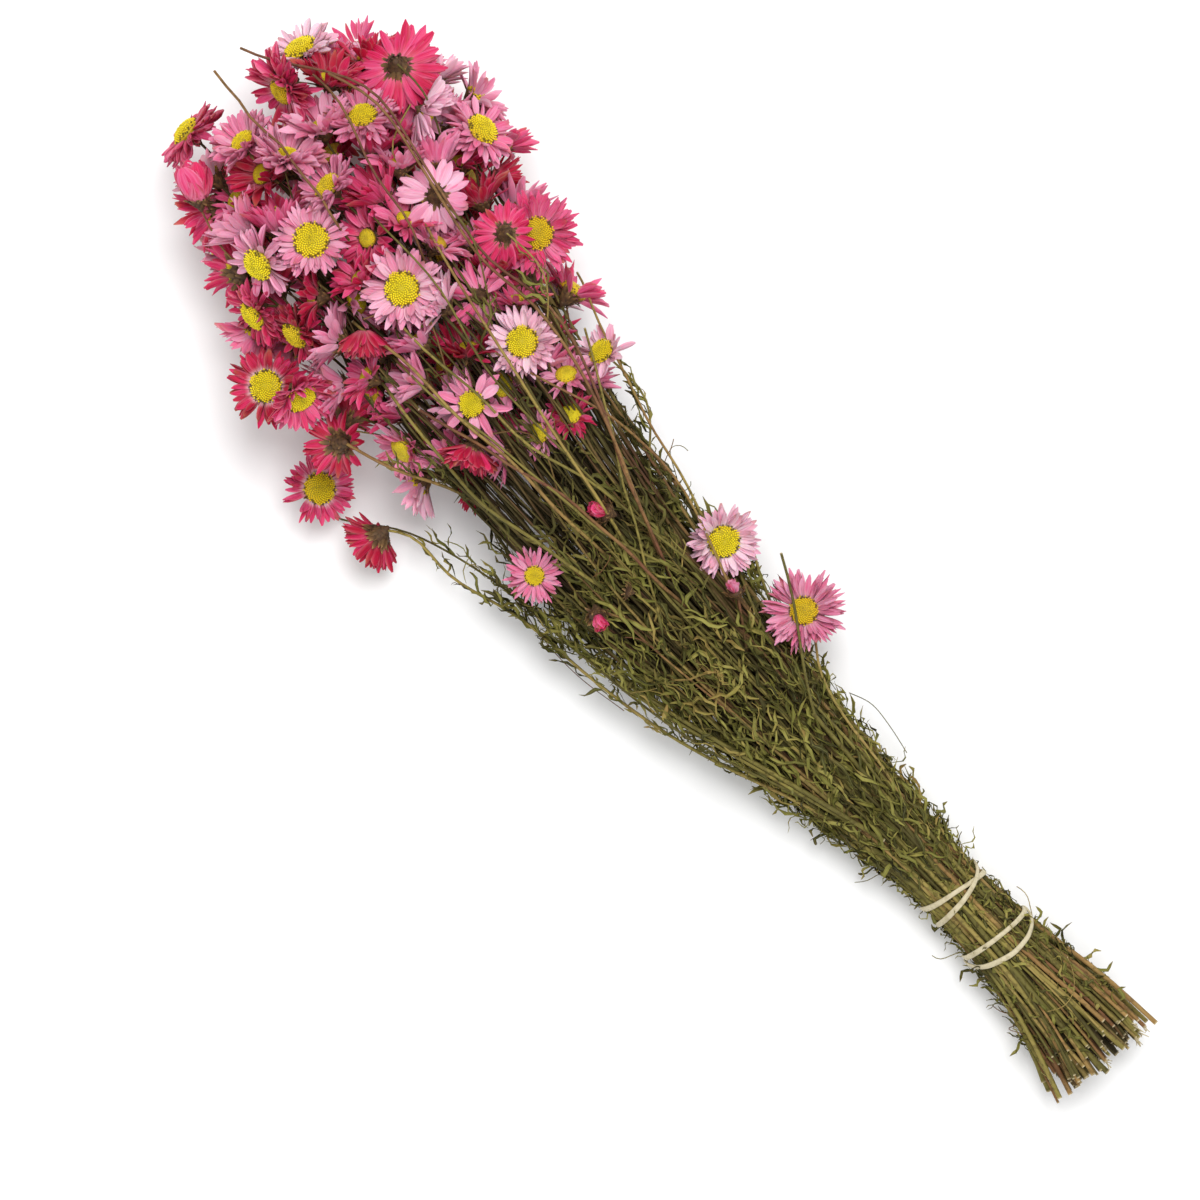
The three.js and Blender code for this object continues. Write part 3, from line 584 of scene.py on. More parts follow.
def spread_out(lower, x, u, v, count, dice):
    """Points between the tie and a place further up, with the stems fanning out evenly."""
    start = lower[-1]
    u0, v0 = place_in_bunch(start)
    points = []
    for t in np.linspace(0, 1, count + 2)[1:]:
        stray = dice.normal(0, 0.09, 2) * math.sin(math.pi * t)
        points.append(in_bunch(start[0] + (x - start[0]) * t, u0 + (u - u0) * t + stray[0],
                               v0 + (v - v0) * t + stray[1]))
    return points


def wavy(path, dice, most=1.5):
    """Dry stems are never quite straight between the tie and the flower."""
    along = np.linspace(0, 1, len(path))[:, None]
    sway = np.sin(along * dice.uniform(8, 26, 2) + dice.uniform(0, 6.3, 2))
    path[:, 1:] += sway * dice.uniform(0.3, most, 2) * np.sin(along * math.pi)**0.5
    path[:, 2] = np.maximum(path[:, 2], STEM_FOOT_RADIUS)
    return path


# How far below its cup a flower's stem leaves the others: the top flowers, then the packed ones
LEAVES_BELOW = (52, 34)
# How low a stem may bend before its cup, and how far above the cup's foot
LOWEST_BEND, HIGHEST_BEND = 3, 5


def flower_path(flower, dice):
    """A stem from its cut end to the cup of its flower."""
    u, v = place_in_bunch(flower.centre)
    side = math.atan2(v, u)
    angle, share = side + dice.normal(0, 0.5), 0.96 * math.sqrt(dice.uniform(0.05, 1))
    lower = through_tie(angle, share, dice)
    foot = flower.foot(NECK - 0.8)
    if flower.name in STEMS_BY_HAND:
        middle = [np.array(point, float) for point in STEMS_BY_HAND[flower.name]]
    else:
        x = foot[0] - LEAVES_BELOW[flower.level >= 1]
        u, v = place_in_bunch((x, foot[1], foot[2]))
        inside = min(1, 0.8 / max(math.hypot(u, v), 0.01))
        middle = spread_out(lower, x, u * inside * 0.9, v * inside * 0.9, 3, dice)
    arrival = unit(flower.axis * 0.65 + ALONG * 0.7)
    reach = np.linalg.norm(foot - middle[-1])
    bend = foot - arrival * 0.4 * reach
    bend[2] = min(max(bend[2], LOWEST_BEND), foot[2] + HIGHEST_BEND)
    step = FINE_STEM_STEP if flower.level < 1 else STEM_STEP
    return wavy(smooth_path(lower + middle + [bend, foot], step), dice)


# The nearest, usual and furthest place where a stem without a flower ends
BARE_TIPS = (60, 240, 400)


def bare_path(dice):
    """A stem that has lost its flower."""
    angle, share = dice.uniform(0, 2 * math.pi), 0.98 * math.sqrt(dice.uniform(0.02, 1))
    lower = through_tie(angle, share, dice)
    x = dice.triangular(*BARE_TIPS)
    wide = share * dice.uniform(0.6, 0.95)
    middle = spread_out(lower, x, *polar(angle + dice.normal(0, 0.4), wide), 4, dice)
    return wavy(smooth_path(lower + middle, STEM_STEP), dice)


# How far on and down the end of a crossing stem dips, among flowers and among stems
DIPS = {True: (14, 20), False: (34, 13)}


def crossing_path(places, lift, dice):
    """A stem that lies over the others. An end among flowers dips at once, one among stems slowly."""
    points = [np.array([x, y, height_over(x, y, 0) + lift]) for x, y in places]
    for end, neighbour, place in ((points[0], points[1], 0), (points[-1], points[-2], len(points) + 1)):
        if end[0] < FREE_ENDS_FROM:
            reach, drop = DIPS[bool(end[0] > FLOWERS_FROM)]
            points.insert(place, end + unit(end - neighbour) * reach - UP * drop)
    return wavy(smooth_path(points, EDGE_STEM_STEP), dice, 0.8)


def stem_coat(board):
    shade, along, inside = (board.attribute(key) for key in ("shade", "along", "inside"))
    place = board.place()
    drawn_out = board.add("ShaderNodeMapping", {"Vector": place, "Scale": (60, 900, 900)})
    fibres = board.noise(drawn_out, 1.0, 3.0)
    age = shade + (board.noise(place, 35.0, 2.0) - 0.5) * 0.8
    dry = board.ramp(age, (0.0, "4E4820"), (0.22, "6A632E"), (0.42, "877C3C"), (0.6, "A08A4E"),
                     (0.8, "9A7946"), (1.0, "764E30"))
    upper = board.ramp(age, (0.0, "564E22"), (0.3, "786E34"), (0.55, "9C8A46"), (0.75, "8C6A3E"),
                       (1.0, "704634"))
    # Stems deep inside the bunch are mixed towards near-black brown by their inside mark: painted shade
    base = board.mix(inside, board.mix(along, dry, upper), colour("2A200F"))
    cut = board.mix(board.attribute("cut"), base, colour("CFC09A"))
    streaked = board.mix((fibres - 0.35) * 1.3, cut, board.mix(0.7, cut, colour("2E2712")))
    flecked = board.mix((board.noise(place, 420.0, 2.0) > 0.58) * 0.4, streaked, colour("3C3014"))
    return {"Base Color": flecked, "Roughness": 0.55 + fibres * 0.3,
            "Normal": board.bump(fibres, 0.8, 0.0005)}


stem_material = surface("dry stems", stem_coat, Specular_IOR_Level=0.25)

board, wires = shape_tree("stems", {"Sides": "Int", "Material": "Material"})
ring = board.add("GeometryNodeCurvePrimitiveCircle", {"Resolution": wires["Sides"], "Radius": 1.0})
lines = board.add("GeometryNodeMeshToCurve", {"Mesh": wires["Geometry"]})
tubes = board.add("GeometryNodeCurveToMesh", {
    "Curve": lines, "Profile Curve": ring, "Scale": board.stored("radius_here"), "Fill Caps": True})
rounded = board.add("GeometryNodeSetShadeSmooth", {"Geometry": tubes})
stem_tree = finish_tree(board, rounded, wires["Material"])

# Stems thin out from the cut ends up, and turn from straw to reddish brown above the tie
THINNING_FROM, THINNING_OVER = -86, 450
TURNING_FROM, TURNING_OVER = 60, 240
# The first ring of a stem is its cut face
CUT_FACE = 0.8
# Painted shade darkens stems and leaves from this share of the way out, reaching its full depth within how
# much of it
PAINTED_SHADE_FROM, PAINTED_SHADE_OVER = 0.9, 0.25


def how_deep(point):
    """How far inside the bunch a point lies: 0 near its outside, 1 well inside."""
    return min(max((PAINTED_SHADE_FROM - math.hypot(*place_in_bunch(point))) / PAINTED_SHADE_OVER, 0), 1)


def stem_piece(name, sides, paths, dice, thinnest=0.65, thickest=1.35, shades=(0, 1), **fixed):
    """Tubes round the stems' middle lines. What is fixed is the same at every point."""
    paths = [np.concatenate([path[:1], path[:1] + unit(path[1] - path[0]) * CUT_FACE, path[1:]])
             for path in paths]
    edges, start = [], 0
    radius, shade, along, cut = [], [], [], []
    for path in paths:
        count = len(path)
        edges += [(start + i, start + i + 1) for i in range(count - 1)]
        start += count
        t = np.clip((path[:, 0] - THINNING_FROM) / THINNING_OVER, 0, 1)
        thick = dice.uniform(thinnest, thickest)
        radius += list(thick * (STEM_FOOT_RADIUS + (STEM_NECK_RADIUS - STEM_FOOT_RADIUS) * t**0.8))
        shade += [dice.uniform(*shades)] * count
        along += list(np.clip((path[:, 0] - TURNING_FROM) / TURNING_OVER, 0, 1))
        cut += [1.0] + [0.0] * (count - 1)
    points = np.concatenate(paths)
    # The inside mark carries painted shade for stems deep in the bunch
    marks = {"radius_here": np.array(radius) * MM, "shade": shade, "along": along, "cut": cut,
             "inside": [0.85 * how_deep(point) for point in points]}
    marks.update((key, np.full(len(points), value)) for key, value in fixed.items())
    lines = mesh_of(name + " lines", points * MM, edges, **marks)
    belongs(grow(name, stem_tree, {"Sides": sides, "Material": stem_material}, lines),
            "stems", "leafy_stems")


STRAY_LIFT, CROSSING_LIFT = 5, 1.5

dice = np.random.default_rng(11)
low_paths = [flower_path(f, dice) for f in every_flower] + [bare_path(dice) for _ in range(BARE_STEMS)]
stem_piece("stems", 5, low_paths, dice)
stray_paths = [crossing_path(places, STRAY_LIFT, dice) for places in STRAY_STEMS]
stem_piece("stray_stems", 6, stray_paths, dice, 0.9, 1.2, (0.8, 1))
crossing_paths = [crossing_path(places, CROSSING_LIFT, dice) for places in CROSSING_STEMS]
crossing_paths += [smooth_path(points, EDGE_STEM_STEP) for points in FREE_STEMS]
stem_piece("crossing_stems", 6, crossing_paths, dice, 0.85, 1.3, (0.15, 0.95))
thick_paths = [smooth_path(points, STEM_STEP) for points in THICK_STEMS]
stem_piece("thick_stems", 7, thick_paths, dice, 1.1, 1.45, (0.1, 0.62))

# The ends of some stems were crushed when they were cut, and their pale fibres stand apart
CRUSHED_EVERY = 12
FIBRES_AT_END = 5
frayed_paths = []
for path in low_paths[::CRUSHED_EVERY]:
    outward = unit(path[0] - path[1])
    for _ in range(FIBRES_AT_END):
        tip = path[0] + (outward + dice.normal(0, 0.35, 3)) * dice.uniform(1.5, 4)
        frayed_paths.append(np.array([path[0] - outward, path[0] + dice.normal(0, 0.3, 3), tip]))
stem_piece("frayed_ends", 4, frayed_paths, dice, 0.16, 0.3, cut=1.0)

# The leaves.
# Narrow leaves dried on the stems: olive, thin, folded along the middle and curled at the
# tips. They lie thick from the tie to the flowers and are sparse below it.
LEAF_SHAPES = 16
LEAF_THICKNESS = 0.012
THREAD_WIDTH = 0.35


def ribbon(name, centres, sides, ups, halves, columns, cup, thickness, fold=0.0):
    """A thin blade with a sharp rim: two skins that share their edge, one value a row."""
    across = np.linspace(-1, 1, columns)
    rows = len(centres)
    lift = halves[:, None] * (cup[:, None] * across**2 + fold * np.cos(2 * math.pi * across))
    skin = (centres[:, None] + sides[:, None] * (halves[:, None] * across)[..., None]
            + ups[:, None] * lift[..., None])
    under_skin = skin - ups[:, None] * (thickness * (1 - across**2))[None, :, None]
    inner = np.zeros((rows, columns), bool)
    inner[1:-1, 1:-1] = True
    grid = np.arange(rows * columns).reshape(rows, columns)
    below = grid.copy()
    below[inner] = rows * columns + np.arange(inner.sum())

    def faces(g):
        return np.stack([g[:-1, :-1], g[1:, :-1], g[1:, 1:], g[:-1, 1:]], axis=-1).reshape(-1, 4)

    shares = np.meshgrid(np.linspace(0, 1, rows), across, indexing="ij")
    along_here, across_here = (np.concatenate([share.ravel(), share[inner]]) for share in shares)
    mesh = mesh_of(name, np.concatenate([skin.reshape(-1, 3), under_skin[inner]]), [],
                   np.concatenate([faces(grid), faces(below)[:, ::-1]]).tolist(),
                   blade_along=along_here, blade_across=across_here)
    mesh.shade_smooth()
    mesh.set_sharp_from_angle(angle=math.radians(70))
    return mesh


def kept_shapes(name, meshes):
    """A collection of small shapes to strew, kept out of the scene."""
    shelf = bpy.data.collections.new(name)
    for k, mesh in enumerate(meshes):
        shelf.objects.link(bpy.data.objects.new(f"{name}_{k:02d}", mesh))
    return shelf


def walk(ahead):
    """Points that follow the ways given, over one unit in all."""
    return np.concatenate([[np.zeros(3)], np.cumsum(ahead[:-1], axis=0)]) / (len(ahead) - 1)


def curled_leaf(number, dice):
    """A leaf one unit long that waves and curls more towards its tip; some are mere threads."""
    rows = 6
    along = np.linspace(0, 1, rows)
    waves = [np.sin(along * dice.uniform(5, 11) + dice.uniform(0, 6.3)) * dice.uniform(0.2, 0.7)
             for _ in range(3)]
    pitch = waves[0] + dice.normal(0, 0.3) * along + dice.normal(0, 0.9) * along**3
    yaw = waves[1] + dice.normal(0, 0.3) * along + dice.normal(0, 1.1) * along**3
    twist = waves[2] * 2 + dice.normal(0, 1.6) * along
    ahead = np.stack([np.cos(pitch) * np.cos(yaw), np.cos(pitch) * np.sin(yaw), np.sin(pitch)], axis=1)
    flat_side = np.stack([-np.sin(yaw), np.cos(yaw), np.zeros(rows)], axis=1)
    flat_up = np.cross(ahead, flat_side)
    sides = flat_side * np.cos(twist)[:, None] + flat_up * np.sin(twist)[:, None]
    ups = np.cross(ahead, sides)
    wide = THREAD_WIDTH if number % 4 == 0 else dice.uniform(0.6, 1.15)
    halves = np.interp(along, [0, 0.15, 0.45, 0.8, 1], [0.014, 0.036, 0.052, 0.042, 0.014]) * wide
    cup = np.full(rows, dice.uniform(0.2, 1.1))
    return ribbon(f"leaf shape {number}", walk(ahead), sides, ups, halves, 3, cup, LEAF_THICKNESS)


def leaf_coat(board):
    place = board.place()
    patches = board.noise(place, 260.0, 3.0)
    age = board.attribute("shade") * 0.9 + (patches - 0.5) * 0.5 + (board.noise(place, 22.0, 1.0) - 0.5) * 0.6
    green = board.ramp(age, (0.0, "2C2A10"), (0.25, "4E4C1E"), (0.5, "6E6C2E"), (0.75, "8E8844"),
                       (1.0, "8E7440"))
    rib = 1 - board.maths("ABSOLUTE", board.attribute("blade_across")) * 1.6
    ribbed = board.mix((rib > 0.75) * 0.3, green, colour("9C9A62"))
    tipped = board.mix(board.attribute("blade_along")**4 * 0.5, ribbed, colour("7A6636"))
    # Leaves deep inside the bunch are mixed towards near-black olive by their inside mark: painted shade
    with_painted_shade = board.mix(board.attribute("inside"), tipped, colour("2E2812"))
    return {"Base Color": with_painted_shade, "Roughness": 0.6 + patches * 0.3, "Normal": board.bump(patches, 0.35, 0.0003)}


leaf_material = surface("dry leaves", leaf_coat, Specular_IOR_Level=0.2)


def copies_on(board, points, shelf, kind, turn, size):
    """Copies of a collection's shapes, one on each point."""
    shapes = board.add("GeometryNodeCollectionInfo", {
        "Collection": shelf, "Separate Children": True, "Reset Children": True})
    return board.add("GeometryNodeInstanceOnPoints", {
        "Points": points, "Instance": shapes, "Pick Instance": True, "Instance Index": kind,
        "Rotation": board.add("FunctionNodeEulerToRotation", {"Euler": turn}), "Scale": size})


# The tree lifts what would lie under the floor
board, wires = shape_tree("strewn shapes", {
    "Shapes": "Collection", "Body": "Object", "Material": "Material", "Lowest": "Float"})
strewn = copies_on(board, wires["Geometry"], wires["Shapes"], board.stored("kind", "INT"),
                   board.stored("turn", "FLOAT_VECTOR"), board.stored("size", "FLOAT_VECTOR"))
body = board.add("GeometryNodeObjectInfo", {"Object": wires["Body"]}, output="Geometry")
real = board.add("GeometryNodeRealizeInstances", {"Geometry": board.join(strewn, body)})
spot = board.add("ShaderNodeSeparateXYZ", {"Vector": board.add("GeometryNodeInputPosition")})
kept_up = board.vector(spot.other("X"), spot.other("Y"),
                       board.maths("MAXIMUM", spot.other("Z"), wires["Lowest"]))
laid = board.add("GeometryNodeSetPosition", {"Geometry": real, "Position": kept_up})
strew_tree = finish_tree(board, laid, wires["Material"])


def strew(name, points, turns, sizes, kinds, marks, shapes, material, body=None, lowest=0.2):
    """One piece made of small shapes at points, each with its turn, size, kind and marks."""
    mesh = mesh_of(name + " points", np.array(points) * MM, turn=turns, size=np.array(sizes) * MM,
                   kind=kinds, **marks)
    inputs = {"Shapes": shapes, "Material": material, "Lowest": lowest * MM}
    if body:
        inputs["Body"] = body
    return grow(name, strew_tree, inputs, mesh)


def turn_to(ahead, up):
    """Euler angles that turn a shape's +X ahead and its +Z as near up as can be."""
    ahead = unit(ahead)
    side = unit(np.cross(up, ahead))
    return tuple(Matrix(np.stack([ahead, side, np.cross(ahead, side)], axis=1).tolist()).to_euler())


LOW_PART = 20
STEMS_APART = 200

# The longest leaves at places along the bunch
LENGTH_PLACES = [LOW_PART, 40, 190, 280]
LONGEST_LEAVES = [12, 24, 24, 17]

# How thick the leaves grow at places along the bunch
LEAF_PLACES = [-78, -60, -28, -8, 20, 60, 150, 210, 260, 330]
LEAF_SHARES = [0.3, 0.8, 1, 1, 1, 1, 1, 0.75, 0.4, 0.12]

# How leaves differ: to the side, off the bunch, in their roll, in length and in width
LEAF_SWING, LEAF_LIFT, LEAF_ROLL = 0.42, 0.11, 0.7
SHORTEST = 0.4
LEAF_WIDTHS = (9, 22)


def leaf_at(outward, longest, dice):
    """The turn and size of one leaf, which lies mostly along the bunch."""
    side = unit(np.cross(ALONG, outward))
    swing, lift = dice.normal(0, LEAF_SWING), dice.normal(0.0, LEAF_LIFT)
    length = dice.uniform(longest * SHORTEST, longest)
    ahead = ALONG * math.cos(swing) + side * math.sin(swing) + outward * lift
    upward = outward + side * dice.normal(0, LEAF_ROLL)
    return turn_to(ahead, upward), (length, dice.uniform(*LEAF_WIDTHS), length)


def strew_leaves(name, leaves, dice):
    """One piece of the scene from leaves that are each a place, a turn and a size."""
    points, turns, sizes = zip(*leaves)
    kinds, shades = dice.integers(0, LEAF_SHAPES, len(points)), dice.uniform(0, 1, len(points))
    # The inside mark carries painted shade for leaves deep in the bunch
    marks = {"shade": shades, "inside": [0.9 * how_deep(point) for point in points]}
    piece = strew(name, points, turns, sizes, kinds, marks, leaf_shapes, leaf_material)
    belongs(piece, "stems", "leafy_stems")


def in_the_way(spots):
    """Whether one of the spots lies over one of the low flowers or buds."""
    return any(math.dist(spot[:2], place[:2]) < reach and spot[2] > place[2] - 9
               for spot in spots for *place, reach in LOW_PLACES)


DEEPEST_LEAF = 0.35
TUCKED_IN = 0.6


def leaves_round(low, high, left, dice, spans=None):
    """Leaves all round the bunch, or on spans of its stems where these stand apart."""
    while left:
        angle, share = dice.uniform(0, 2 * math.pi), 1 - DEEPEST_LEAF * dice.uniform() ** 2
        point = in_bunch(dice.uniform(low, high), *polar(angle, share))
        if spans:
            start, end = spans[dice.integers(len(spans))]
            point = start + (end - start) * share
        if dice.uniform() > np.interp(point[0], LEAF_PLACES, LEAF_SHARES):
            continue
        outward = outward_at(point)
        if point[0] < LOW_PART:
            point -= outward * TUCKED_IN
        turn, size = leaf_at(outward, np.interp(point[0], LENGTH_PLACES, LONGEST_LEAVES), dice)
        if in_the_way([point + ALONG * (share * size[0]) for share in (0.1, 0.5, 0.9)]):
            continue
        left -= 1
        yield point, turn, size


EDGE_LEAVES = (70, 270)
LONGEST_EDGE_LEAF = 18


def leaves_on_edge(paths, each, dice):
    """Leaves that grow from the long stems at the edge of the bunch, a few at each point."""
    for path in paths:
        for point in path[np.logical_and(path[:, 0] > EDGE_LEAVES[0], path[:, 0] < EDGE_LEAVES[1])]:
            for _ in range(each):
                spot = point + ALONG * dice.uniform(-6, 6)
                outward = unit(np.array([0, dice.normal(0, 1), dice.normal(0.3, 1)]))
                yield spot, *leaf_at(outward, LONGEST_EDGE_LEAF, dice)


CURL_PLACES, CURL_SHARE = (-72, 190), 0.97
CURL_LENGTHS, CURL_WIDTHS = (6, 12), (14, 24)


def curls_outside(count, dice):
    """Larger curled leaves that stand off both edges of the bunch and off its upper side."""
    for _ in range(count):
        x = dice.uniform(*CURL_PLACES)
        angle = dice.choice([0, math.pi, math.pi / 2], p=[0.4, 0.4, 0.2]) + dice.normal(0, 0.35)
        point = in_bunch(x, *polar(angle, CURL_SHARE))
        ahead = (outward_at(point) * dice.uniform(0.3, 1)
                 + np.array([dice.uniform(-0.5, 1), 0, dice.normal(0, 0.3)]))
        length = dice.uniform(*CURL_LENGTHS)
        yield point, turn_to(ahead, UP), (length, dice.uniform(*CURL_WIDTHS), length)


# Buds, one of them only a small dried head: along, across, height, radius, tone, and how far it
# points along and across
BUDS = [(236, 7, 70.5, 4.4, 1.8, 0.8, 0.5), (174, -14, 50, 3.5, 1.0, 0.9, -0.3),
        (202, 38, 63, 4.2, 1.7, -0.8, 0.4), (204, 21.5, 67.5, 2.6, 1.2, 0.9, 0.6)]
LEAFY_END = 335
low_flowers = [flower for flower in top_flowers if flower.centre[0] < LEAFY_END]
LOW_PLACES = [(*flower.centre, flower.spread / 2) for flower in low_flowers]
LOW_PLACES += [(x, y, height, radius + 2) for x, y, height, radius, *_ in BUDS]

LEAVES_FROM, UPPER_FROM = -78, 80
LOWER_LEAVES, UPPER_LEAVES, FANNED_LEAVES, CURLED_LEAVES = 2200, 1600, 900, 110
LEAVES_AT_POINT = 2

dice = np.random.default_rng(23)
leaf_shapes = kept_shapes("leaf", [curled_leaf(k, dice) for k in range(LEAF_SHAPES)])
strew_leaves("lower_leaves", leaves_round(LEAVES_FROM, UPPER_FROM, LOWER_LEAVES, dice), dice)
strew_leaves("upper_leaves", leaves_round(UPPER_FROM, STEMS_APART, UPPER_LEAVES, dice), dice)
spans = [(start, end) for path in low_paths for start, end in zip(path[:-1], path[1:])
         if STEMS_APART - 12 < start[0] < LEAFY_END and how_deep(start) < 0.6
         and start[2] > outline_at(start[0])[2] - 10]
strew_leaves("fanned_leaves", leaves_round(STEMS_APART, LEAFY_END, FANNED_LEAVES, dice, spans), dice)
edge_paths = [path for path, flower in zip(low_paths, every_flower)
              if flower.name in ("stray_back", "stray_face")]
strew_leaves("edge_leaves", leaves_on_edge(edge_paths, LEAVES_AT_POINT, dice), dice)
strew_leaves("curled_leaves", curls_outside(CURLED_LEAVES, dice), dice)

# The loose threads.
# Fine curly threads and rootlets that break loose from the bunch, most of them at its sides.
WISPS = 45
WISP_RADIUS = 0.2
WISP_SHARE = 0.9
WISP_STEP = 2
LOWEST_WISP = 0.5

# The longest of them
LONG_THREADS = [
    [(-40, -17, 30), (-47, -14, 34), (-52, -9, 37), (-54, -2, 38), (-51, 5, 37)],
    [(107, -22, 26), (98, -26, 22), (84, -26, 16), (70, -24, 12)],
    [(238, 50, 40), (227, 59, 26), (212, 61.5, 20), (190, 61, 16), (165, 56, 14)],
]


def wisp_path(dice):
    """A curly thread that breaks loose from the side of the bunch."""
    x, angle = dice.uniform(-60, 250), dice.uniform(0, 2 * math.pi)
    spot = in_bunch(x, *polar(angle, WISP_SHARE))
    way = unit(ALONG * dice.uniform(0.5, 1.2) + outward_at(spot) * dice.uniform(0.2, 0.7))
    points = [spot]
    for _ in range(dice.integers(4, 8)):
        way = unit(way + dice.normal(0, 0.55, 3))
        points.append(points[-1] + way * dice.uniform(2, 4))
    path = smooth_path(points, WISP_STEP)
    path[:, 2] = np.maximum(path[:, 2], LOWEST_WISP)
    return path


wisp_paths = [path for path in (wisp_path(dice) for _ in range(WISPS)) if not in_the_way(path)]
wisp_paths += [smooth_path(points, WISP_STEP) for points in LONG_THREADS]
stem_piece("wisps", 4, wisp_paths, dice, radius_here=WISP_RADIUS * MM)

# The rubber bands.
# Two cream rubber bands hold the stems. Each is doubled, so two flat strands go round side
# by side and meet at the edge of the bunch. The rubber is slightly shiny and a little dusty.
BAND_WIDTH = 2.6
BAND_THICKNESS = 1.0
# Each strand's place along the bunch at angles round it: 0 is the +Y edge, 90 the top
ANGLES = [0, 45, 90, 125, 150, 180, 230, 310, 360]
BANDS = {
    "lower_band": ([-14.5, -20, -23, -22, -19, -14.2, -12.6, -12.8, -14.5],
                   [-12.2, -12.6, -13.4, -14, -14, -13.4, -14.6, -13.4, -12.2]),
    "upper_band": ([5.8, 6.6, 8.2, 10.4, 12.8, 16.5, 13, 8, 5.8],
                   [15.8, 14.4, 13.2, 11.4, 10.4, 9.8, 10, 13.4, 15.8]),
}
# The second strand runs under the first where the two cross
UNDERPASS = 0.9

STRAND_STEPS = 120
STRAND_CORNERS = [(-1, -0.5), (-1, 0.5), (-0.8, 1), (0.8, 1), (1, 0.5), (1, -0.5), (0.8, -1), (-0.8, -1)]
# The bands follow the outline between these places along the bunch
BAND_STATIONS = (-24, 16)


def band_coat(board):
    dust = board.noise(board.place(), 420.0, 4.0)
    worn = board.ramp(dust, (0.3, "A89C7A"), (0.55, "C5BA9A"), (0.8, "B4A886"))
    return {"Base Color": worn, "Roughness": 0.4 + dust * 0.25, "Normal": board.bump(dust, 0.25, 0.0002)}


band_material = surface("cream rubber", band_coat)


def band_mesh(name, strands):
    """Two flat closed strands with rounded edges that wobble a little round the stems."""
    steps, sides = STRAND_STEPS, len(STRAND_CORNERS)
    turn = np.arange(steps) / steps * 360
    blur = np.hanning(15) / np.hanning(15).sum()
    tracks = [np.convolve(np.interp(np.arange(-7, steps + 7) * 3 % 360, ANGLES, places), blur, "valid")
              for places in strands]
    near = np.clip(1 - np.abs(tracks[0] - tracks[1]) / (1.6 * BAND_WIDTH), 0, 1)
    sinks = [np.zeros(steps), UNDERPASS * near**0.5]
    vertices, faces = [], []
    for strand, (track, sink) in enumerate(zip(tracks, sinks)):
        start = len(vertices)
        for i, angle in enumerate(np.radians(turn)):
            x = track[i]
            station = min(max(x, BAND_STATIONS[0]), BAND_STATIONS[1])
            _, half_width, _, half_height = outline_at(station)
            out = unit(np.array([0, math.cos(angle) / half_width, math.sin(angle) / half_height]))
            middle = in_bunch(station, math.cos(angle), math.sin(angle))
            middle[0] = x
            lean = 0.3 * math.sin(3 * angle + 2 * strand)
            width = BAND_WIDTH * (0.86 + 0.1 * math.sin(2 * angle + strand))
            for wide, thick in STRAND_CORNERS:
                away = BAND_THICKNESS / 2 * (1 + thick) + 0.25 + wide * lean * 0.5 - sink[i]
                vertices.append((middle + out * away + ALONG * (wide * width / 2)) * MM)
        for i in range(steps):
            here, there = start + i * sides, start + (i + 1) % steps * sides
            faces += [(here + k, here + (k + 1) % sides, there + (k + 1) % sides, there + k)
                      for k in range(sides)]
    mesh = mesh_of(name, vertices, [], faces)
    mesh.shade_smooth()
    mesh.materials.append(band_material)
    return mesh


for name, strands in BANDS.items():
    belongs(put(name + "_rubber", band_mesh(name, strands)), "bands", name)

# The petals.
# They are papery bracts in two to five rows round the disc: long, blunt, finely streaked
# and translucent, from nearly white to crimson, paler at the foot. No two flowers match.
PETAL_SHAPES = 6
PETAL_THICKNESS = 0.02

# What sets a flower apart: petals in a row, rows, width of a petal for its length, how untidy
LOOKS = {
    "low_side": (30, 4, 0.17, 0.2), "low_side_pale": (22, 4, 0.27, 0.14), "small_open": (22, 3, 0.21, 0.1),
    "stray_back": (17, 4, 0.3, 0.22), "stray_face": (22, 3, 0.25, 0.15), "lilac_sparse": (8, 2, 0.4, 0.2),
    "pale_ragged": (11, 3, 0.34, 0.28), "wide_face": (20, 4, 0.3, 0.14), "round_face": (19, 4, 0.29, 0.15),
    "pale_face": (19, 4, 0.3, 0.14), "messy": (15, 4, 0.3, 0.34), "big_back": (30, 4, 0.33, 0.1),
    "dark_side": (18, 4, 0.26, 0.26), "crimson_side": (17, 4, 0.32, 0.24), "reflexed": (14, 3, 0.34, 0.2),
    "upper_back": (14, 3, 0.46, 0.16), "upper_pink": (20, 4, 0.24, 0.18), "pink_face": (19, 4, 0.28, 0.15),
    "tip_wide": (22, 4, 0.29, 0.16), "rose_back": (24, 4, 0.34, 0.1), "crimson_dome": (26, 5, 0.23, 0.24),
    "closed_cup": (9, 3, 0.75, 0.06), "tip_single": (20, 4, 0.27, 0.14),
}
USUAL_LOOK = (17, 4, 0.3, 0.18)
PACKED_LOOK = (14, 3, 0.32, 0.24)
CLOSED_LOOK = (15, 3, 0.26, 0.2)

# The pale ring that some have round the disc
PALE_RINGS = {"dark_face": 0.8, "stray_face": 0.8, "low_side_pale": 0.8, "tip_wide": 0.4, "low_side": 0.3}


def petal_shape(number, rows, columns, dice):
    """A petal one unit long and one wide; its curl grows towards the tip."""
    along = np.linspace(0, 1, rows)
    pitch = dice.normal(0.1, 0.12) + dice.normal(0.0, 0.35) * along**2
    ahead = np.stack([np.cos(pitch), np.zeros(rows), np.sin(pitch)], axis=1)
    centres = walk(ahead)
    centres[:, 1] += dice.normal(0, 0.12) * along**2
    twist = dice.normal(0, 0.2) * along
    sides = np.stack([np.zeros(rows), np.cos(twist), np.sin(twist)], axis=1)
    ups = np.cross(ahead, sides)
    blunt = dice.uniform(0.04, 0.15)
    halves = np.interp(along, [0, 0.15, 0.4, 0.62, 0.84, 1], [0.2, 0.34, 0.48, 0.48, 0.34, blunt])
    cup = dice.uniform(-0.05, 0.35) * (1 - 0.4 * along)
    return ribbon(f"petal shape {number}", centres, sides, ups, halves, columns, cup, PETAL_THICKNESS,
                  fold=0.1 if columns > 3 else 0.0)


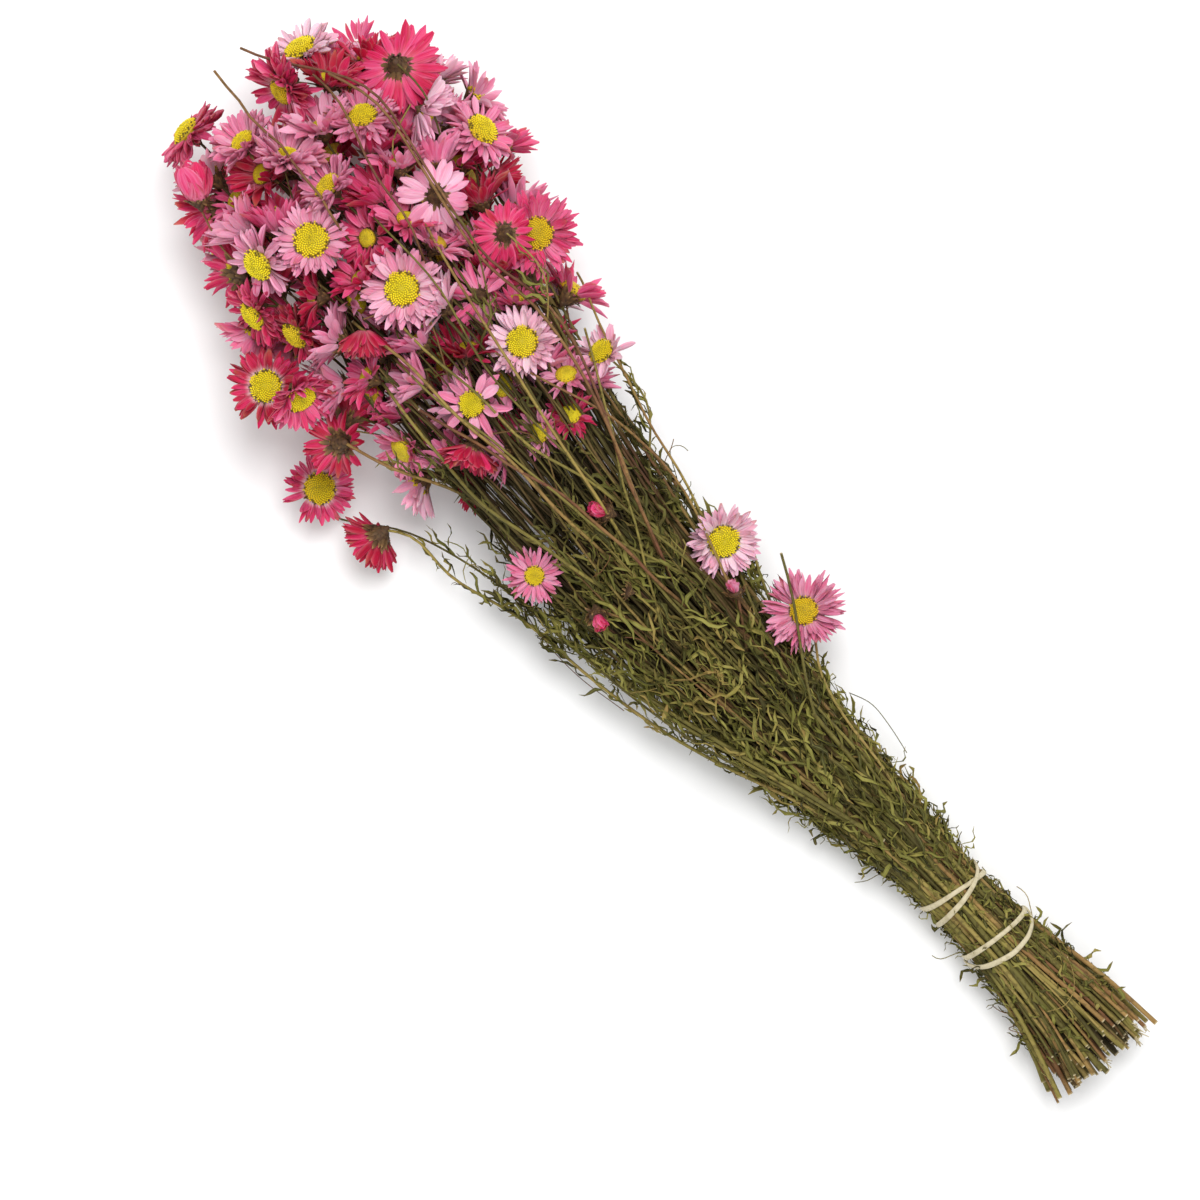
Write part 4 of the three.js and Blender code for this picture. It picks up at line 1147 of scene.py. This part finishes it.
def petal_coat(board):
    along, across, shade = (board.attribute(key) for key in ("blade_along", "blade_across", "petal_shade"))
    streaks = board.noise(board.vector(across * 5, along * 0.7, shade * 40), 1.6, 4.0)
    patches = board.noise(board.place(), 130.0, 2.0)
    depth = (board.attribute("tone") / 2 + (shade - 0.5) * 0.26 + (streaks - 0.5) * 0.55
             + (patches - 0.5) * 0.16)
    pink = board.ramp(depth, (0.0, "F3CEDA"), (0.24, "EDACC3"), (0.48, "E480A4"), (0.7, "DF4F80"),
                      (0.88, "D2225A"), (1.0, "B00C34"))
    foot = 1 - board.add("ShaderNodeMapRange", {"Value": along, "From Min": 0.0, "From Max": 0.45},
                         {"interpolation_type": "SMOOTHSTEP"})
    pale_foot = board.mix(foot * board.attribute("pale_ring"), pink, colour("F9E9EA"))
    edge = board.maths("ABSOLUTE", across)**5
    light_edge = board.mix(edge * 0.25, pale_foot, board.mix(0.5, pink, colour("FBEFF4")))
    tipped = board.mix((shade > 0.9) * along**5 * 0.6, light_edge, colour("A8784F"))
    # Inner rows are mixed a little towards dark pink by their row share: painted shade near the disc
    deeper = board.mix(0.6, tipped, colour("9C2A5C"))
    return {"Base Color": board.mix(board.attribute("row_share") * 0.12, tipped, deeper),
            "Roughness": 0.5 + streaks * 0.3, "Normal": board.bump(streaks, 0.6, 0.0003)}


petal_material = surface("papery petals", petal_coat, Subsurface_Weight=0.15, Subsurface_Scale=0.001,
                         Specular_IOR_Level=0.3)

# No petal stands steeper than this, and each row inwards stands a little steeper
STEEPEST = math.radians(87)
RISE_OF_ROW = math.radians(8)
# The outer row grows from further in and lower than the inner one, which is a little shorter
OUTER_ROOT = 0.62
LOWEST_ROOT, ROOTS_RISE = 2.6, 2.2
INNER_SHORTER = 0.14

board, wires = shape_tree("petal rows", {
    "Petals in a row": "Int", "Rows": "Int", "Disc radius": "Float", "Length": "Float", "Width": "Float",
    "Rise": "Float", "Rise of a row": "Float", "Untidiness": "Float", "Seed": "Int",
    "Shapes": "Collection", "Material": "Material"})


def chance(low, high, offset, kind="FLOAT"):
    """A draw for each petal or floret of the tree in hand."""
    ends = {"FLOAT": (2, 3, 1), "INT": (4, 5, 2)}[kind]
    return board.add("FunctionNodeRandomValue", {ends[0]: low, ends[1]: high, "Seed": wires["Seed"] + offset},
                     {"data_type": kind}, ends[2])


def marked(copies, name, value):
    """Copies that each carry a value for their material."""
    return board.add("GeometryNodeStoreNamedAttribute", {"Geometry": copies, "Name": name, "Value": value},
                     {"domain": "INSTANCE"})


number = board.add("GeometryNodeInputIndex")
row = board.maths("FLOOR", number / wires["Petals in a row"])
turns_done = (number + row * 0.5) / wires["Petals in a row"]
angle = turns_done * (2 * math.pi) + chance(-1.0, 1.0, 1) * wires["Untidiness"] * 1.6
elevation = (wires["Rise"] + row * wires["Rise of a row"]
             + chance(-1.0, 1.0, 2) * wires["Untidiness"] * 1.3)
held = board.maths("MINIMUM", elevation, STEEPEST)
inward = row / (wires["Rows"] - 1)
reach = wires["Disc radius"] * (OUTER_ROOT + inward * (1 - OUTER_ROOT))
place = board.vector(reach * board.maths("COSINE", angle), reach * board.maths("SINE", angle),
                     (inward * ROOTS_RISE - LOWEST_ROOT) * MM)
petal_points = board.add("GeometryNodePoints", {"Count": wires["Petals in a row"] * wires["Rows"],
                                                "Position": place})
petal_turn = board.vector(chance(-1.0, 1.0, 3) * (wires["Untidiness"] * 2.0 + 0.1), held * -1, angle)
petal_length = (wires["Length"] - reach) * (1 - inward * INNER_SHORTER) * chance(0.86, 1.1, 4)
petal_size = board.vector(petal_length, wires["Width"] * chance(0.8, 1.15, 5), petal_length)
petals = copies_on(board, petal_points, wires["Shapes"], chance(0, PETAL_SHAPES - 1, 6, "INT"),
                   petal_turn, petal_size)
shaded = marked(petals, "petal_shade", chance(0.0, 1.0, 7))
petal_tree = finish_tree(board, marked(shaded, "row_share", row / wires["Rows"]), wires["Material"])


# Discs that are smaller or larger than the spread of their flower would have it
DISC_SHARES = {
    "small_open": 0.8, "lilac_sparse": 0.85, "wide_face": 1.06, "round_face": 1.06, "crimson_dome": 0.9,
    "small_pink": 0.55, "dark_centre": 0.7, "rose_middle": 0.65, "spidery_back": 0.5, "tip_pink": 0.85,
    "upper_pink": 0.9, "tip_wide": 0.82, "low_side": 0.88,
}
GAP_DISC_SHARE = 0.68
LARGEST_DISC = 6.8


def disc_radius(flower):
    usual = GAP_DISC_SHARE if flower.name.startswith("gap_") else 1
    return min(0.2 * flower.spread, LARGEST_DISC) * DISC_SHARES.get(flower.name, usual)


def petals_of(name, spread, disc, rise, look, shapes, seed):
    """The petals of one flower that faces up at the origin."""
    in_row, rows, width, untidy = look
    lean_in = max(math.cos(rise), 0.55)
    length = (spread / 2 - disc) / lean_in
    return grow(name, petal_tree, {
        "Petals in a row": in_row, "Rows": rows, "Disc radius": (disc - 0.5) * MM,
        "Length": (length + disc) * MM, "Width": length * width * MM, "Rise": rise,
        "Rise of a row": RISE_OF_ROW, "Untidiness": untidy, "Seed": seed, "Shapes": shapes,
        "Material": petal_material})


def stand(flower, spin=0.0):
    """The matrix that puts a flower made at the origin in its place in the bunch."""
    turn = Vector((0, 0, 1)).rotation_difference(Vector(flower.axis))
    return (Matrix.Translation(Vector(flower.centre) * MM) @ turn.to_matrix().to_4x4()
            @ Matrix.Rotation(spin, 4, "Z"))


def tint(piece, tone, pale_ring):
    """Writes one flower's pink on its petals."""
    vertices = len(piece.data.vertices)
    mark(piece.data, tone=[tone] * vertices, pale_ring=[pale_ring] * vertices)


USUAL_RING = 0.1

dice = np.random.default_rng(5)
fine_petals = kept_shapes("petal", [petal_shape(k, 7, 5, dice) for k in range(PETAL_SHAPES)])
plain_petals = kept_shapes("plain_petal", [petal_shape(k + 50, 5, 3, dice) for k in range(PETAL_SHAPES)])
for seed, flower in enumerate(top_flowers):
    petals = petals_of("petals_" + flower.name, flower.spread, disc_radius(flower), flower.rise,
                       LOOKS.get(flower.name, USUAL_LOOK), fine_petals, seed)
    petals.data.transform(stand(flower, seed))
    tint(petals, flower.tone, PALE_RINGS.get(flower.name, USUAL_RING))
    belongs(petals, "petals", flower.name)

# Packed flowers share a few heads, each turned and coloured on its own
HEAD_RISES = (14, 20, 27, 35, 44, 60)
CLOSED_FROM = 40
HEAD_SPREAD = 30
HEAD_DISC = 6


def mesh_alone(piece):
    """A piece's mesh, once the piece itself is taken away."""
    mesh = piece.data
    bpy.data.objects.remove(piece)
    return mesh


def shared_head(k, rise):
    look = CLOSED_LOOK if rise > CLOSED_FROM else PACKED_LOOK
    return mesh_alone(petals_of(f"head {k}", HEAD_SPREAD, HEAD_DISC, math.radians(rise), look,
                                plain_petals, 200 + k))


head_shapes = kept_shapes("head", [shared_head(k, rise) for k, rise in enumerate(HEAD_RISES * 2)])


def on_flowers(name, flowers, sizes, kinds, shapes, material, marks):
    """Copies of a few shapes, one on each flower, each with its size."""
    turns = [tuple(stand(f, 1.7 * k).to_euler()) for k, f in enumerate(flowers)]
    sizes = [(1000 * size,) * 3 for size in sizes]
    return strew(name, [f.centre for f in flowers], turns, sizes, kinds, marks, shapes, material)


def nearest_head(flower, k):
    """Which of the heads opens as wide as the flower."""
    gaps = [abs(math.radians(rise) - flower.rise) for rise in HEAD_RISES]
    return gaps.index(min(gaps)) + len(HEAD_RISES) * (k % 2)


packed_petals = on_flowers(
    "packed_petals", packed_flowers, [f.spread / HEAD_SPREAD for f in packed_flowers],
    [nearest_head(f, k) for k, f in enumerate(packed_flowers)], head_shapes, petal_material,
    {"tone": [f.tone for f in packed_flowers], "pale_ring": [USUAL_RING] * len(packed_flowers)})
belongs(packed_petals, "petals", "packed_flowers")

# The discs.
# The middle of each flower is a low dome of packed tube florets, set in spirals. They are
# lemon yellow, a little green in the middle, with dark specks of stamens near the rim.
GOLDEN_ANGLE = math.pi * (3 - math.sqrt(5))
DISC_RADIUS = 6.3
FLORETS = 210
DOME_SIDES = 16


def disc_yellow(board, height, shade):
    """Lemon yellow, duller with age, with painted shade between the florets and dark specks near the rim."""
    ring_share = board.attribute("ring_share")
    yellow = board.ramp(ring_share, (0.0, "D2C412"), (0.3, "ECDC12"), (0.55, "F8E814"), (1.0, "F4E010"))
    aged = board.mix(board.attribute("age") * 0.7, yellow, colour("D08A1C"))
    # Low on each floret, and on the cushion between them, the yellow darkens: painted shade between the
    # florets
    with_painted_shade = board.mix((1 - height) * 0.5, aged, colour("9C8418"))
    speck = (shade < 0.38) * (ring_share > 0.83) * (height > 0.3)
    inner_speck = (shade < 0.16) * (height > 0.6) * (ring_share < 0.75)
    specked = board.mix(speck * 0.9, with_painted_shade, colour("33240E"))
    return {"Base Color": board.mix(inner_speck * 0.5, specked, colour("7A6516")),
            "Roughness": 0.55 + shade * 0.2}


def disc_coat(board):
    return disc_yellow(board, board.attribute("floret_height"), board.attribute("floret_shade"))


disc_material = surface("yellow florets", disc_coat)


def plain_disc_coat(board):
    place = board.attribute("disc_place", "Vector")
    florets = board.add("ShaderNodeTexVoronoi", {"Vector": place, "Scale": 1.5})
    shade = board.add("ShaderNodeSeparateColor", {0: florets.other("Color")})
    # The cells darken towards their edges: painted shade between the florets, which the bump also shapes
    height = 1 - florets * 1.3
    return {**disc_yellow(board, height, shade), "Normal": board.bump(height, 0.9, 0.0004)}


plain_disc_material = surface("small florets", plain_disc_coat)


def floret_mesh():
    """A tiny pointed bud with five sides, one unit across and one high."""
    waist = [(0.5 * math.cos(k * 0.4 * math.pi), 0.5 * math.sin(k * 0.4 * math.pi), 0.55) for k in range(5)]
    vertices = waist + [(0, 0, 0), (0, 0, 1)]
    faces = [(5, (k + 1) % 5, k) for k in range(5)] + [(6, k, (k + 1) % 5) for k in range(5)]
    return mesh_of("floret", vertices, [], faces, floret_height=[v[2] for v in vertices])


board, wires = shape_tree("disc florets", {
    "Florets": "Int", "Radius": "Float", "Height": "Float", "Dent": "Float", "Floret": "Object",
    "Seed": "Int", "Material": "Material"})
number = board.add("GeometryNodeInputIndex")
share = ((number + 0.5) / wires["Florets"])**0.5
angle = number * GOLDEN_ANGLE
dent = (1 - share)**3 * wires["Dent"]
place = board.vector(board.maths("COSINE", angle) * share * wires["Radius"],
                     board.maths("SINE", angle) * share * wires["Radius"],
                     (1 - share**2.4) * wires["Height"] - dent + 0.2 * MM)
floret_points = board.add("GeometryNodePoints", {"Count": wires["Florets"], "Position": place})
lean = board.add("FunctionNodeEulerToRotation", {"Euler": board.vector(0.0, share**2 * 0.8, angle)})
wide = wires["Radius"] / wires["Florets"]**0.5 * (1.75 + share * 0.3)
size = board.vector(wide, wide, wide * (1.4 + chance(-0.3, 0.3, 1)))
floret = board.add("GeometryNodeObjectInfo", {"Object": wires["Floret"]}, output="Geometry")
florets = board.add("GeometryNodeInstanceOnPoints", {
    "Points": floret_points, "Instance": floret, "Rotation": lean, "Scale": size})
ringed = marked(marked(florets, "floret_shade", chance(0.0, 1.0, 2)), "ring_share", share)
cushion = board.add("GeometryNodeMeshUVSphere", {"Segments": 16, "Rings": 6, "Radius": wires["Radius"]})
low_cushion = board.add("GeometryNodeTransform", {
    "Geometry": cushion, "Scale": board.vector(0.98, 0.98, wires["Height"] / wires["Radius"] * 0.9)})
disc_tree = finish_tree(board, board.join(low_cushion, ringed), wires["Material"])

floret_object = bpy.data.objects.new("floret", floret_mesh())

# Four discs that differ in how sunken the middle is and in height
DISC_DOMES = [(0.5, 2.4), (1.4, 2.7), (0.0, 2.0), (0.9, 3.0)]


def fine_disc(number, dent_depth, height):
    """A disc with every floret on it."""
    return mesh_alone(grow(f"disc {number}", disc_tree, {
        "Florets": FLORETS, "Radius": DISC_RADIUS * MM, "Height": height * MM, "Dent": dent_depth * MM,
        "Floret": floret_object, "Seed": 300 + number, "Material": disc_material}))


def plain_disc(number, dent_depth, height):
    """A bare dome for the flowers that lie deeper. Its florets are in its material."""
    shares = np.array([0.3, 0.55, 0.76, 0.92, 1.0])
    heights = (1 - shares**2.4) * height - (1 - shares)**3 * dent_depth + 0.6
    rings = list(zip(shares * DISC_RADIUS, heights)) + [(0.9 * DISC_RADIUS, -1.8)]
    steps = np.arange(DOME_SIDES) / DOME_SIDES * 2 * math.pi
    points = [(r * math.cos(a), r * math.sin(a), z) for r, z in rings for a in steps]
    points.append((0, 0, height - dent_depth + 0.6))
    ring = np.arange(len(points) - 1).reshape(-1, DOME_SIDES)
    faces = [(high[k - 1], low[k - 1], low[k], high[k])
             for high, low in zip(ring[:-1], ring[1:]) for k in range(DOME_SIDES)]
    faces += [(len(points) - 1, ring[0][k - 1], ring[0][k]) for k in range(DOME_SIDES)] + [ring[-1][::-1]]
    mesh = mesh_of(f"plain disc {number}", np.array(points) * MM, [], [tuple(map(int, f)) for f in faces],
                   disc_place=points, ring_share=[math.hypot(x, y) / DISC_RADIUS for x, y, _ in points])
    mesh.shade_smooth()
    return mesh


def dress_discs(name, flowers, nodes, shapes, material, oldest, dice):
    """Discs of four kinds in turn, smaller in flowers that are nearly closed."""
    ages = dice.uniform(0, oldest, len(flowers))**2
    kinds = [k % 4 for k in range(len(flowers))]
    sizes = [disc_radius(flower) / DISC_RADIUS * (0.7 if flower.rise > 1 else 1) for flower in flowers]
    discs = on_flowers(name, flowers, sizes, kinds, shapes, material, {"age": ages})
    belongs(discs, "discs", *nodes)


dice = np.random.default_rng(31)
loose_discs = [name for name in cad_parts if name.endswith("_disc")]
fine_discs = kept_shapes("disc", [fine_disc(k, *dome) for k, dome in enumerate(DISC_DOMES)])
plain_discs = kept_shapes("plain_disc", [plain_disc(k, *dome) for k, dome in enumerate(DISC_DOMES)])
dress_discs("top_discs", top_flowers, loose_discs, fine_discs, disc_material, 0.7, dice)
dress_discs("packed_discs", packed_flowers, ["packed_flowers"], plain_discs, plain_disc_material, 1, dice)

# The scaly cups.
# Behind each flower the short outer scales overlap in a small cup round the top of the stem.
# They are dry and brown, with paler, torn tips.
SCALE_THICKNESS = 0.05
SCALE_LENGTHS = (2.8, 4.4)
SCALE_WIDTH = 0.55
# How many kinds of scales and of cups there are, fine and plain
CUP_KINDS = 3


def cup_coat(board):
    grain = board.noise(board.place(), 600.0, 3.0)
    brown = board.ramp(board.attribute("blade_along") + (grain - 0.5) * 0.5, (0.0, "2E1D10"),
                       (0.4, "4A301A"), (0.7, "765430"), (1.0, "B4925C"))
    return {"Base Color": board.mix(board.attribute("scale_shade") * 0.5, brown, colour("7A5C30")),
            "Roughness": 0.6 + grain * 0.3}


cup_material = surface("brown scales", cup_coat)


def scale_shape(number, rows, dice):
    """A pointed scale one unit long that bends back towards its tip."""
    along = np.linspace(0, 1, rows)
    pitch = dice.normal(-0.1, 0.15) - dice.uniform(0.1, 0.9) * along**2
    ahead = np.stack([np.cos(pitch), np.zeros(rows), np.sin(pitch)], axis=1)
    sides = np.repeat([[0.0, 1.0, 0.0]], rows, axis=0)
    halves = np.interp(along, [0, 0.35, 0.7, 1], [0.3, 0.5, 0.32, 0.03])
    return ribbon(f"scale shape {number}", walk(ahead), sides, np.cross(ahead, sides), halves, 3,
                  np.full(rows, -0.3), SCALE_THICKNESS)


CUP_PROFILE = [(0.7, -8.4), (1.4, -7.0), (2.5, -5.4), (3.6, -4.2), (4.4, -3.2), (4.0, -2.2)]
CUP_SIDES = 12
# Rows of scales from the stem up: distance from the middle, height, rise of the scales
SCALE_ROWS = [(1.5, -7.3, 50), (2.5, -6.1, 44), (3.5, -5.0, 36), (4.3, -4.0, 26), (4.7, -3.1, 12)]


def cup_body():
    """The plain body that the scales grow from, turned round the stem."""
    steps = np.arange(CUP_SIDES) / CUP_SIDES * 2 * math.pi
    vertices = [(r * math.cos(a) * MM, r * math.sin(a) * MM, z * MM) for r, z in CUP_PROFILE for a in steps]
    rings = np.arange(len(vertices)).reshape(-1, CUP_SIDES)
    faces = [(low[k - 1], low[k], high[k], high[k - 1])
             for low, high in zip(rings[:-1], rings[1:]) for k in range(CUP_SIDES)]
    faces += [tuple(rings[0][::-1]), tuple(rings[-1])]
    mesh = mesh_of("cup body", vertices, [], [tuple(map(int, face)) for face in faces],
                   blade_along=[0.4] * len(vertices))
    mesh.shade_smooth()
    return bpy.data.objects.new("cup body", mesh)


def cup_shape(number, in_row, shapes, dice):
    """One cup with its scales, for a flower that faces up at the origin."""
    points, turns, sizes, kinds, shades = [], [], [], [], []
    for row, (radius, height, rise) in enumerate(SCALE_ROWS):
        for k in range(in_row):
            angle = (k + 0.5 * row) / in_row * 2 * math.pi + dice.normal(0, 0.12)
            out = np.array([*polar(angle, 1), 0.0])
            tilt = math.radians(rise + dice.normal(0, 9))
            points.append(out * radius + UP * height)
            turns.append(turn_to(out * math.cos(tilt) + UP * math.sin(tilt), out))
            length = dice.uniform(*SCALE_LENGTHS)
            sizes.append((length, length * SCALE_WIDTH, length))
            kinds.append(dice.integers(CUP_KINDS))
            shades.append(dice.uniform())
    return mesh_alone(strew(f"cup {number}", points, turns, sizes, kinds, {"scale_shade": shades},
                            shapes, cup_material, body_object, lowest=-100))


# The spread of the flower that a cup is made for
CUP_SPREAD = 33
# Cups that are smaller or larger than the spread of their flower would have them
CUP_SHARES = {
    "crimson_dome": 0.45, "messy": 0.6, "big_back": 0.72, "spidery_back": 0.66, "upper_back": 0.75,
    "rose_back": 0.85, "closed_cup": 1.1,
}


def dress_cups(name, flowers, nodes):
    """Cups of the finer kind go on flowers that turn their backs, plainer ones on the others."""
    kinds = [k % CUP_KINDS + (CUP_KINDS if flower.level >= 1 or flower.axis[2] > 0.6 else 0)
             for k, flower in enumerate(flowers)]
    sizes = [flower.spread / CUP_SPREAD * (1.2 if flower.axis[2] < -0.3 else 1)
             * CUP_SHARES.get(flower.name, 1) for flower in flowers]
    cups = on_flowers(name, flowers, sizes, kinds, cup_shapes, cup_material, {})
    belongs(cups, "stems", *nodes)


dice = np.random.default_rng(47)
body_object = cup_body()
scales = kept_shapes("scale", [scale_shape(k, 5, dice) for k in range(CUP_KINDS)])
plain_scales = kept_shapes("plain_scale", [scale_shape(k + 3, 3, dice) for k in range(CUP_KINDS)])
cup_shapes = kept_shapes("cup", [cup_shape(k, 11, scales, dice) for k in range(CUP_KINDS)]
                         + [cup_shape(k + 3, 7, plain_scales, dice) for k in range(CUP_KINDS)])
dress_cups("top_cups", top_flowers, [flower.name for flower in top_flowers])
dress_cups("packed_cups", packed_flowers, ["packed_flowers"])

# The buds.
# A few flowers dried before they opened. Each is a tight egg of the same papery petals on a
# short stem of its own, which joins the others inside the bunch.
BUD_LOOK = (7, 4, 0.85, 0.05)
BUD_RISE = math.radians(72)
DRIED_HEAD = 3
SIDE_STEM = 32

bud_paths, bud_places = [], []
for number, (x, y, height, radius, tone, *ahead) in enumerate(BUDS):
    place = Flower("bud", (x, y, height), (*ahead, 0.45), radius * 7, tone, 0, 60)
    bud_places.append(place)
    if number < DRIED_HEAD:
        bud = petals_of(f"bud_{number}", radius * 2.5, radius / 2, BUD_RISE, BUD_LOOK,
                        plain_petals if radius < 4 else fine_petals, 80 + number)
        bud.data.transform(stand(place))
        tint(bud, tone, 0.0)
        belongs(bud, "petals", "leafy_stems")
    root = in_bunch(x - SIDE_STEM, 0.3 * (y > 0) - 0.15, 0.5)
    bud_paths.append(smooth_path([root, (root + place.foot()) / 2 + UP * 2, place.foot(5)], 6))
stem_piece("bud_stems", 6, bud_paths, dice, 0.7, 1)
dress_cups("bud_cups", bud_places, ["leafy_stems"])

# The floor.
# A plain pale sheet under soft studio lamps.
HALF_FLOOR = 3


def floor_coat(board):
    return {"Base Color": board.ramp(board.noise(board.place(), 3.0, 2.0), (0.3, "F6F6F6"), (0.7, "FAFAFA"))}


corners = [(x * HALF_FLOOR, y * HALF_FLOOR, 0) for x, y in ((-1, -1), (1, -1), (1, 1), (-1, 1))]
floor = put("floor", mesh_of("floor", corners, [], [(0, 1, 2, 3)]))
floor.data.materials.append(surface("pale floor", floor_coat, Roughness=0.9))

# The studio: white light from all round and two lamps, each with its place, width and watts
ROUND_LIGHT = 0.68
LAMPS = {"key": ((0.5, -0.4, 1.65), 0.8, 22), "fill": ((-0.7, 0.8, 1.6), 1.6, 5)}
LAMPS_AIM = Vector((0.2, 0.0, 0.0))

world = bpy.data.worlds.new("studio")
world.use_nodes = True
world.node_tree.nodes["Background"].inputs["Color"].default_value = (1, 1, 1, 1)
world.node_tree.nodes["Background"].inputs["Strength"].default_value = ROUND_LIGHT
bpy.context.scene.world = world
for name, (place, size, watts) in LAMPS.items():
    light = bpy.data.lights.new(name, "AREA")
    light.size, light.energy = size, watts
    lamp = put(name, light)
    lamp.location = place
    lamp.rotation_euler = (LAMPS_AIM - Vector(place)).to_track_quat("-Z", "Y").to_euler()
bpy.context.scene.view_settings.view_transform = "Standard"

# The camera looks straight down, turned so that the bunch runs from corner to corner
CAMERA_PLACE = (0.208, 0.032, 1.75)
CAMERA_TURN = -131.45
LENS, SENSOR = 120, 36
camera_data = bpy.data.cameras.new("camera")
camera_data.lens, camera_data.sensor_width = LENS, SENSOR
camera = put("camera", camera_data)
camera.location = CAMERA_PLACE
camera.rotation_euler = (0, 0, math.radians(CAMERA_TURN))
bpy.context.scene.camera = camera
